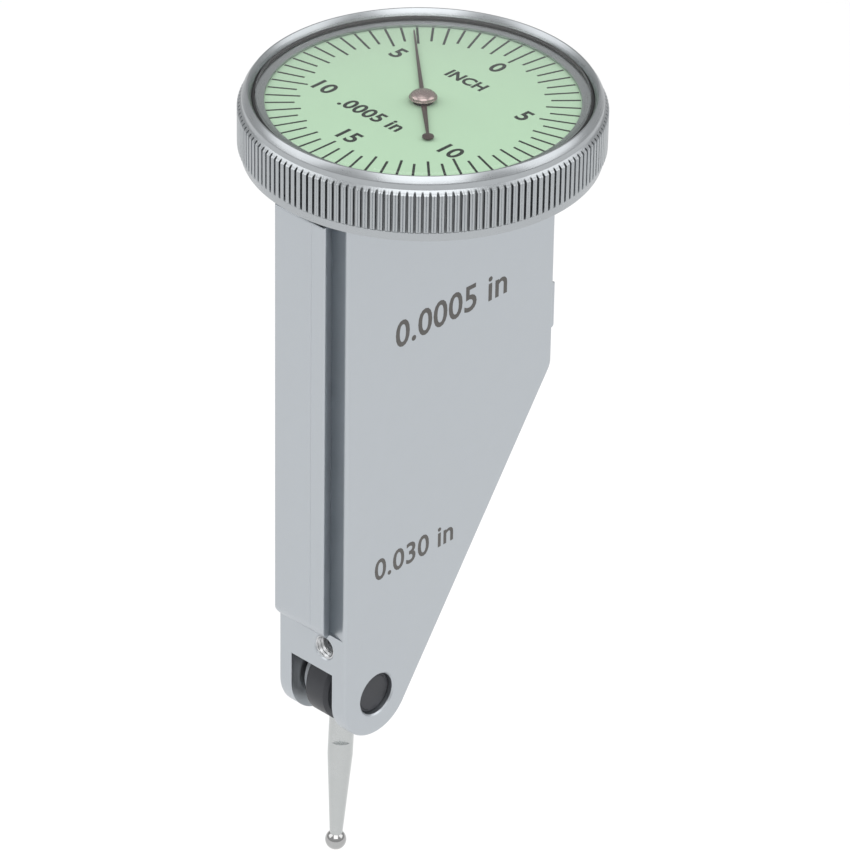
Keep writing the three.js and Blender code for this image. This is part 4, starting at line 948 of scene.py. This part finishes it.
@dataclass
class DialRing(SubAssembly):
    """The bezel with everything that turns in it: crystal, gasket, dial and its print."""

    body: str = "dial_ring"
    teeth: int = 154
    tooth_depth: float = 0.26
    shoulder_drop: float = 0.5
    wall_radius: float = 13.41
    wall_foot: float = 0.04
    rim_bore: float = 12.95
    rim_foot: float = 12.65
    window: float = 11.73
    flange_bottom: float = 0.05
    flange_top: float = 0.25
    bore: float = 12.75
    lip_radius: float = 13.48
    knurl_bottom: float = -3.47
    gasket_wall: float = 0.22
    gasket_height: float = 0.2
    crystal_edge: float = 0.6
    crystal_rise: float = 0.95
    crystal_wall: float = 0.5
    divisions: int = 60
    numbers: tuple[str, ...] = ("0", "5", "10", "15", "10", "5")
    zero: float = math.radians(-1.7)
    tick_end: float = 11.68
    tick_half: float = 0.095
    tick_lengths: tuple[float, float, float] = (2.8, 2.6, 2.2)
    number_ring: float = 7.7
    number_height: float = 1.5
    print_weight: float = 0.05

    def bezel(self) -> Surface:
        """The knurled bezel.

        Two closed profiles with matching corners are rounded: one over the teeth and one along the valleys.
        At angle t each point of the surface is the valley's profile plus a share of the step out to the
        tooth's, where the share is a wave with wide lands, narrow valleys and steep flanks.
        """
        low, high = self.bench.span("bezel")
        tip, bottom, top = float(high[0] - low[0]) / 2, float(low[2]), float(high[2])
        root = tip - self.tooth_depth
        lead = tip - self.wall_radius
        inside = [
            (self.bore, bottom, 0.05), (self.bore, self.flange_bottom, 0.02),
            (self.window, self.flange_bottom, 0.02),
            (self.window, self.flange_top, 0.04), (self.rim_foot, self.flange_top, 0.02),
            (self.rim_foot, self.flange_top + 0.25, 0.02), (self.rim_bore, top, 0.05),
            (self.rim_bore + 0.12, top, 0.06), (self.wall_radius, top - self.shoulder_drop, 0.18),
            (self.wall_radius, self.wall_foot, 0.02)]
        outside = [(self.lip_radius, self.knurl_bottom - 0.04, 0.01), (self.lip_radius, bottom, 0.12)]
        over = [(tip, self.wall_foot - lead, 0.03), (tip, self.knurl_bottom + 0.2, 0.03),
                (root + 0.05, self.knurl_bottom)]
        along = [(root, self.wall_foot - (root - self.wall_radius), 0.01),
                 (root, self.knurl_bottom + 0.02, 0.01), (root - 0.004, self.knurl_bottom)]
        tips = rounded([*inside, *over, *outside], 2)
        roots = rounded([*inside, *along, *outside], 2)
        at = np.array([0.0, 0.08, 0.24, 0.31, 0.38, 0.54, 0.62, 0.69, 0.81, 0.93])
        share = np.array([0.95, 1.0, 1.0, 0.84, 1.0, 1.0, 0.95, 0.08, 0.0, 0.08])
        angle = ((np.arange(self.teeth)[:, None] + at).ravel() * 2 * np.pi / self.teeth)[None, :]
        share = np.tile(share, self.teeth)[None, :]
        r = roots[:, 0, None] + (tips[:, 0] - roots[:, 0])[:, None] * share
        z = roots[:, 1, None] + (tips[:, 1] - roots[:, 1])[:, None] * share
        return Surface().grid(np.stack([r * np.cos(angle), r * np.sin(angle), z], -1), wrap_rows=True)

    def crystal(self) -> Surface:
        """The crystal: two shallow domes on a short skirt, their height falling with the radius squared."""
        radius, foot = self.rim_foot - self.gasket_wall - 0.04, self.flange_top + SEAT_GAP
        outer, inner = np.linspace(0, radius - 0.1, 24), np.linspace(radius - self.crystal_wall, 0, 24)
        top = foot + self.crystal_edge + self.crystal_rise * (1 - (outer / outer[-1]) ** 2)
        under = foot + self.crystal_rise * (1 - (inner / inner[0]) ** 2)
        skirt = [(radius, foot + self.crystal_edge - 0.1), (radius, foot)]
        profile = np.vstack([np.column_stack([outer, top]), skirt, np.column_stack([inner, under])])
        return lathe(profile, ROUND)

    def gasket(self) -> Surface:
        """The gasket round the crystal: a small ring of rounded section."""
        inner, outer = self.rim_foot - self.gasket_wall - 0.02, self.rim_foot - 0.02
        low, high = self.flange_top + SEAT_GAP, self.flange_top + SEAT_GAP + self.gasket_height
        section = rounded([(inner, low, 0.04), (outer, low, 0.04), (outer, high, 0.07), (inner, high, 0.07)])
        return lathe(section, ROUND)

    def dial(self) -> Surface:
        """The dial: a thin turned disc with a hole for the pointer's arbor."""
        low, high = self.bench.span("dial")
        hole, edge, under = 0.75, float(high[0] - low[0]) / 2, float(low[2])
        section = rounded([(hole, under, 0.02), (edge, under, 0.05), (edge, 0, 0.05), (hole, 0, 0.02)], 3)
        return lathe(section, ROUND)

    def angles(self) -> Array:
        """The angle of each division, clockwise from zero."""
        return self.zero - np.arange(self.divisions) * 2 * np.pi / self.divisions

    def scale(self) -> Surface:
        """The graduation: a thin bar for each division, longest at the numbers and shortest at the halves."""
        count = np.arange(self.divisions)
        every = self.divisions // len(self.numbers)
        numbered, whole, between = self.tick_lengths
        length = np.where(count % every == 0, numbered, np.where(count % 2 == 0, whole, between))
        angle, half = self.angles(), self.tick_half
        base = ((0, -half), (1, -half), (1, half), (0, half))
        corners = np.array([[u, v, w] for w in (0, INK) for u, v in base])
        r = self.tick_end - length[:, None] * (1 - corners[None, :, 0])
        side = np.broadcast_to(corners[None, :, 1], r.shape)
        cos, sin = np.cos(angle)[:, None], np.sin(angle)[:, None]
        height = np.broadcast_to(corners[None, :, 2], r.shape)
        points = np.stack([r * cos - side * sin, r * sin + side * cos, height], -1)
        faces = np.array([[3, 2, 1, 0], [4, 5, 6, 7], [0, 1, 5, 4], [1, 2, 6, 5], [2, 3, 7, 6], [3, 0, 4, 7]])
        return Surface().many(points, faces)

    def print_text(self, name: str, text: str, height: float, x: float, y: float) -> None:
        """Prints a word or a number on the dial, upright when the zero is at the top."""
        at, right, up = np.array([x, y, INK / 2]), np.array([0, -1.0, 0]), np.array([1.0, 0, 0])
        word = self.bench.lettering(name, text, height, at, right, up, self.print_weight)
        self.place(word, "print_black", slot="dial_green")

    def build(self) -> None:
        """Builds the ring's pieces."""
        self.add("bezel_knurled", self.bezel(), "bezel_chrome", "bezel", crease=24)
        self.add("crystal_dome", self.crystal(), "clear_crystal", "crystal")
        self.add("gasket_ring", self.gasket(), "rubber", "crystal_gasket")
        self.add("dial_disc", self.dial(), "dial_green", "dial")
        self.add("dial_graduation", self.scale(), "print_black", crease=20, slot="dial_green")
        every = self.divisions // len(self.numbers)
        for index, (number, angle) in enumerate(zip(self.numbers, self.angles()[::every])):
            x, y = self.number_ring * math.cos(angle), self.number_ring * math.sin(angle)
            self.print_text(f"dial_number_{index + 1}", number, self.number_height, x, y)
        self.print_text("dial_unit", ".0005 in", 1.35, -4.2, 1.2)
        self.print_text("dial_word", "INCH", 1.1, 4.6, 0.0)


@dataclass
class Hand(SubAssembly):
    """The pointer and the cap over its hub."""

    body: str = "hand"
    angle: float = math.radians(47.7)
    tip: float = 11.0
    hub: float = 0.72
    tail: float = 5.7
    tail_disc: float = 0.44
    root_width: float = 0.34
    tip_width: float = 0.12
    tail_root_width: float = 0.42
    tail_tip_width: float = 0.22
    cap_radius: float = 1.06

    def pointer(self) -> Surface:
        """The pointer: a thin plate whose outline joins its hub, arm, tail and tail disc."""
        low, high = self.bench.span("pointer")
        arm, tail = math.asin(self.root_width / 2 / self.hub), math.asin(self.tail_root_width / 2 / self.hub)
        neck = math.asin(self.tail_tip_width / 2 / self.tail_disc)
        outline = np.vstack([
            arc((0, 0), self.hub, arm, math.pi - tail, 24),
            arc((-self.tail, 0), self.tail_disc, neck, 2 * math.pi - neck, 40),
            arc((0, 0), self.hub, math.pi + tail, 2 * math.pi - arm, 24),
            [[self.tip - 0.3, -self.tip_width / 2], [self.tip, 0], [self.tip - 0.3, self.tip_width / 2]]])
        cos, sin = math.cos(self.angle), math.sin(self.angle)
        turn = np.array([[cos, sin], [-sin, cos]])
        return slab(outline @ turn, float(low[2]), float(high[2]), Lie.UP, 0.02)

    def cap(self) -> Surface:
        """The cap: a dome over a narrow ring, on a short neck.

        Above the ring the height is the rise times the square root of 1 - (r / radius) squared.
        """
        low, high = self.bench.span("pointer_cap")
        base, top, r = float(low[2]), float(high[2]), self.cap_radius
        ring = rounded([
            (0, base), (r - 0.22, base, 0.02), (r - 0.16, base + 0.07, 0.03), (r, base + 0.07, 0.03),
            (r, base + 0.15, 0.03), (r - 0.07, base + 0.17, 0.02)], 4, closed=False)
        lift = np.linspace(0, math.pi / 2, 20)
        foot = float(ring[-1, 1])
        dome = np.column_stack([(r - 0.07) * np.cos(lift), foot + (top - foot) * np.sin(lift)])
        return lathe(np.vstack([ring, dome[1:]]), 72)

    def build(self) -> None:
        """Builds the pointer and its cap."""
        self.add("pointer_blade", self.pointer(), "pointer_brown", "pointer")
        self.add("pointer_dome", self.cap(), "cap_metal", "pointer_cap")


# ---- Fork and stylus -------------------------------------------------------------------------------------


@dataclass
class ForkBearings(SubAssembly):
    """The blackened bearing discs that close the fork's two bores."""

    def disc(self, side: int) -> Surface:
        """One bearing: a disc with a fine turned step, its outer face sunk in the bore.

        Args:
            side: -1 for the front and 1 for the back.

        Returns:
            The closed surface.
        """
        low, high = self.bench.span("pivot_bearing_front" if side < 0 else "pivot_bearing_back")
        radius = float(high[0] - low[0]) / 2
        face, back = (float(low[1]), float(high[1])) if side < 0 else (float(high[1]), float(low[1]))
        x, z = float(low[0] + high[0]) / 2, float(low[2] + high[2]) / 2
        out = -math.copysign(1.0, back - face)
        profile = rounded([
            (0, face), (radius - 0.3, face, 0.03), (radius - 0.22, face - 0.05 * out, 0.02),
            (radius - 0.1, face - 0.05 * out, 0.02), (radius, face - 0.12 * out, 0.02), (radius, back),
            (0.82, back), (0.82, face - 0.3 * out), (0, face - 0.3 * out)], 4, closed=False)
        return lathe(profile, SMALL_ROUND, Lie.ALONG_Y, (x, 0, z))

    def build(self) -> None:
        """Builds both discs."""
        for end, side in (("front", -1), ("back", 1)):
            self.add(f"bearing_disc_{end}", self.disc(side), "blackened_steel", f"pivot_bearing_{end}")


@dataclass
class Stylus(SubAssembly):
    """The swivelling hub, the tapered stem with its wrench flats, and the ball."""

    body: str = "stylus"
    tilt: float = math.radians(3)
    hub_radius: float = 3.25
    hub_half: float = 1.2
    hub_chamfer: float = 0.3
    hub_bore: float = 0.82
    length: float = 15.2
    stem_radius: float = 0.99
    neck_radius: float = 0.5
    taper_start: float = 7.1
    ball_radius: float = 0.836
    flat_start: float = 4.95
    flat_length: float = 0.82
    flat_offset: float = 0.7
    flat_turn: float = math.radians(-45)

    def hung(self, points: Array) -> Array:
        """Tilts points that hang down from the pivot about its axis, and moves them to the pivot."""
        cos, sin = math.cos(self.tilt), math.sin(self.tilt)
        turn = np.array([[cos, 0, sin], [0, 1, 0], [-sin, 0, cos]])
        return points @ turn.T + self.bench.joint("stylus_swivel")

    def hub(self) -> Surface:
        """The hub: a disc on the pivot axis with chamfered rims and a bore."""
        r, w, c = self.hub_radius, self.hub_half, self.hub_chamfer
        profile = rounded([(self.hub_bore, -w, 0.03), (r - c, -w, 0.05), (r, c - w, 0.05), (r, w - c, 0.05),
                           (r - c, w, 0.05), (self.hub_bore, w, 0.03)])
        return Surface().grid(self.hung(Lie.ALONG_Y.apply(turned(profile, ROUND))), wrap_rows=True)

    def stem(self) -> Surface:
        """The stem: its radius follows a profile, and the wrench flats cut it off.

        At angle t the radius is the profile's. Between the flats' ends it is the smaller of that and the
        flats' distance over the size of sin(t - turn).
        """
        top = -self.hub_radius + 1.6
        ball = -self.length + math.sqrt(self.ball_radius ** 2 - self.neck_radius ** 2)
        shoulder, first, last = -self.hub_radius - 0.1, -self.flat_start, -self.flat_start - self.flat_length
        taper = np.linspace(-self.taper_start, ball - 0.05, 14)
        share = (taper[0] - taper) / (taper[0] - taper[-1])
        cone = self.stem_radius + (self.neck_radius - self.stem_radius) * share
        head = [(0, top), (0.55, top), (0.55, shoulder), (self.stem_radius - 0.1, shoulder),
                (self.stem_radius, shoulder - 0.1), (self.stem_radius, first), (self.stem_radius, first),
                (self.stem_radius, last), (self.stem_radius, last)]
        profile = np.vstack([head, np.column_stack([cone, taper]), [(0, ball - 0.05)]])
        cut = np.zeros(len(profile), bool)
        cut[6:8] = True
        angle = np.linspace(0, 2 * np.pi, 144, endpoint=False)
        flats = self.flat_offset / np.maximum(np.abs(np.sin(angle - self.flat_turn)), 1e-3)
        r = np.where(cut[:, None], np.minimum(profile[:, 0, None], flats[None]), profile[:, 0, None])
        grid = np.stack([r * np.cos(angle), r * np.sin(angle), profile[:, 1, None] + 0 * r], -1)
        return Surface().grid(self.hung(grid))

    def ball(self) -> Surface:
        """The ball: a half circle turned about the stem's axis."""
        lift = np.linspace(-math.pi / 2, math.pi / 2, 49)
        r = self.ball_radius
        profile = np.column_stack([r * np.cos(lift), r * np.sin(lift) - self.length])
        return Surface().grid(self.hung(turned(profile, SMALL_ROUND)))

    def build(self) -> None:
        """Builds the stylus."""
        self.add("hub_disc", self.hub(), "blackened_steel", "stylus_hub")
        self.add("stem_tapered", self.stem(), "stylus_steel", "stylus_stem", crease=25)
        self.add("ball_polished", self.ball(), "polished_steel", "ball_tip")


# ---- Studio ----------------------------------------------------------------------------------------------


@dataclass
class Lamp:
    """One soft square light: where it stands from the object in metres, its side, and its power."""

    name: str
    place: tuple[float, float, float]
    side: float
    power: float


@dataclass
class Studio:
    """The camera, the pale floor and the soft lights."""

    bench: Bench
    azimuth: float = math.radians(-46.4411)
    elevation: float = math.radians(31.87)
    roll: float = math.radians(0.951)
    distance: float = 410.91
    shift_right: float = -0.144
    shift_up: float = 23.87
    lens: float = 235.87
    floor_drop: float = 0.03
    floor_side: float = 3.0
    sky: float = 0.6
    lamps: tuple[Lamp, ...] = (
        Lamp("top", (0.0, 0.1, 0.65), 0.35, 0.4),
        Lamp("front", (-0.26, -0.27, 0.52), 0.55, 1.9),
        Lamp("right", (0.38, -0.4, 0.42), 0.5, 1.2),
        Lamp("left", (-0.38, 0.4, 0.42), 0.5, 1.2),
    )

    def camera(self) -> None:
        """Stands the camera off the dial along its view, with a slight roll, and makes it the scene's."""
        a, e = self.azimuth, self.elevation
        back = Vector((math.sin(a) * math.cos(e), -math.cos(a) * math.cos(e), math.sin(e)))
        level = Vector((math.cos(a), math.sin(a), 0))
        right = Matrix.Rotation(self.roll, 3, back) @ level
        up = back.cross(right)
        data = bpy.data.cameras.new("camera")
        data.lens, data.sensor_width, data.clip_start, data.clip_end = self.lens, 36.0, 0.02, 20.0
        eye = bpy.data.objects.new("camera", data)
        place = self.bench.dial + (back * self.distance - right * self.shift_right - up * self.shift_up) * MM
        eye.matrix_world = Matrix.Translation(place) @ Matrix((right, up, back)).transposed().to_4x4()
        bpy.context.scene.collection.objects.link(eye)
        bpy.context.scene.camera = eye

    def floor(self) -> None:
        """A plain pale floor some way under the stylus, slightly uneven in colour."""
        low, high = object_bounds()
        height, half = low[2] - self.floor_drop, self.floor_side / 2
        mesh = bpy.data.meshes.new("floor")
        corners = [(-half, -half, height), (half, -half, height), (half, half, height), (-half, half, height)]
        mesh.from_pydata(corners, [], [(0, 1, 2, 3)])
        floor = bpy.data.objects.new("floor", mesh)
        bpy.context.scene.collection.objects.link(floor)
        board = Board("floor")
        cloud = board.noise(board.place(), 60.0, 2.0)
        mesh.materials.append(board.finish({
            "Base Color": board.blend(cloud, (0.93, 0.93, 0.93), (0.95, 0.95, 0.95)), "Roughness": 0.9}))
        floor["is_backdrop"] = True

    def light(self) -> None:
        """An even sky and soft square lamps, each facing the middle of the object."""
        world = bpy.data.worlds.new("sky")
        world.use_nodes = True
        world.node_tree.nodes["Background"].inputs["Color"].default_value = (1.0, 1.0, 1.0, 1.0)
        world.node_tree.nodes["Background"].inputs["Strength"].default_value = self.sky
        bpy.context.scene.world = world
        low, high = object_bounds()
        middle = (Vector(low) + Vector(high)) / 2
        for lamp in self.lamps:
            data = bpy.data.lights.new(lamp.name, "AREA")
            data.energy, data.size = lamp.power, lamp.side
            item = bpy.data.objects.new(lamp.name, data)
            place = middle + Vector(lamp.place)
            facing = (place - middle).to_track_quat("Z", "Y").to_matrix().to_4x4()
            item.matrix_world = Matrix.Translation(place) @ facing
            bpy.context.scene.collection.objects.link(item)

    def build(self) -> None:
        """Sets the studio up."""
        bpy.context.scene.view_settings.view_transform = "Standard"
        self.camera()
        self.floor()
        self.light()


def main() -> None:
    """Builds the sub-assemblies in order, then the studio."""
    logging.basicConfig(level=logging.INFO, format="%(name)s: %(message)s")
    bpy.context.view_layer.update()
    bench, wardrobe = Bench(), Wardrobe()
    wardrobe.dress_frame()
    Studio(bench).build()
    for kind in (Housing, DialRing, Hand, ForkBearings, Stylus):
        log.info("building the %s", kind.__name__)
        kind(bench, wardrobe).build()
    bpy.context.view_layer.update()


if __name__ == "__main__":
    main()
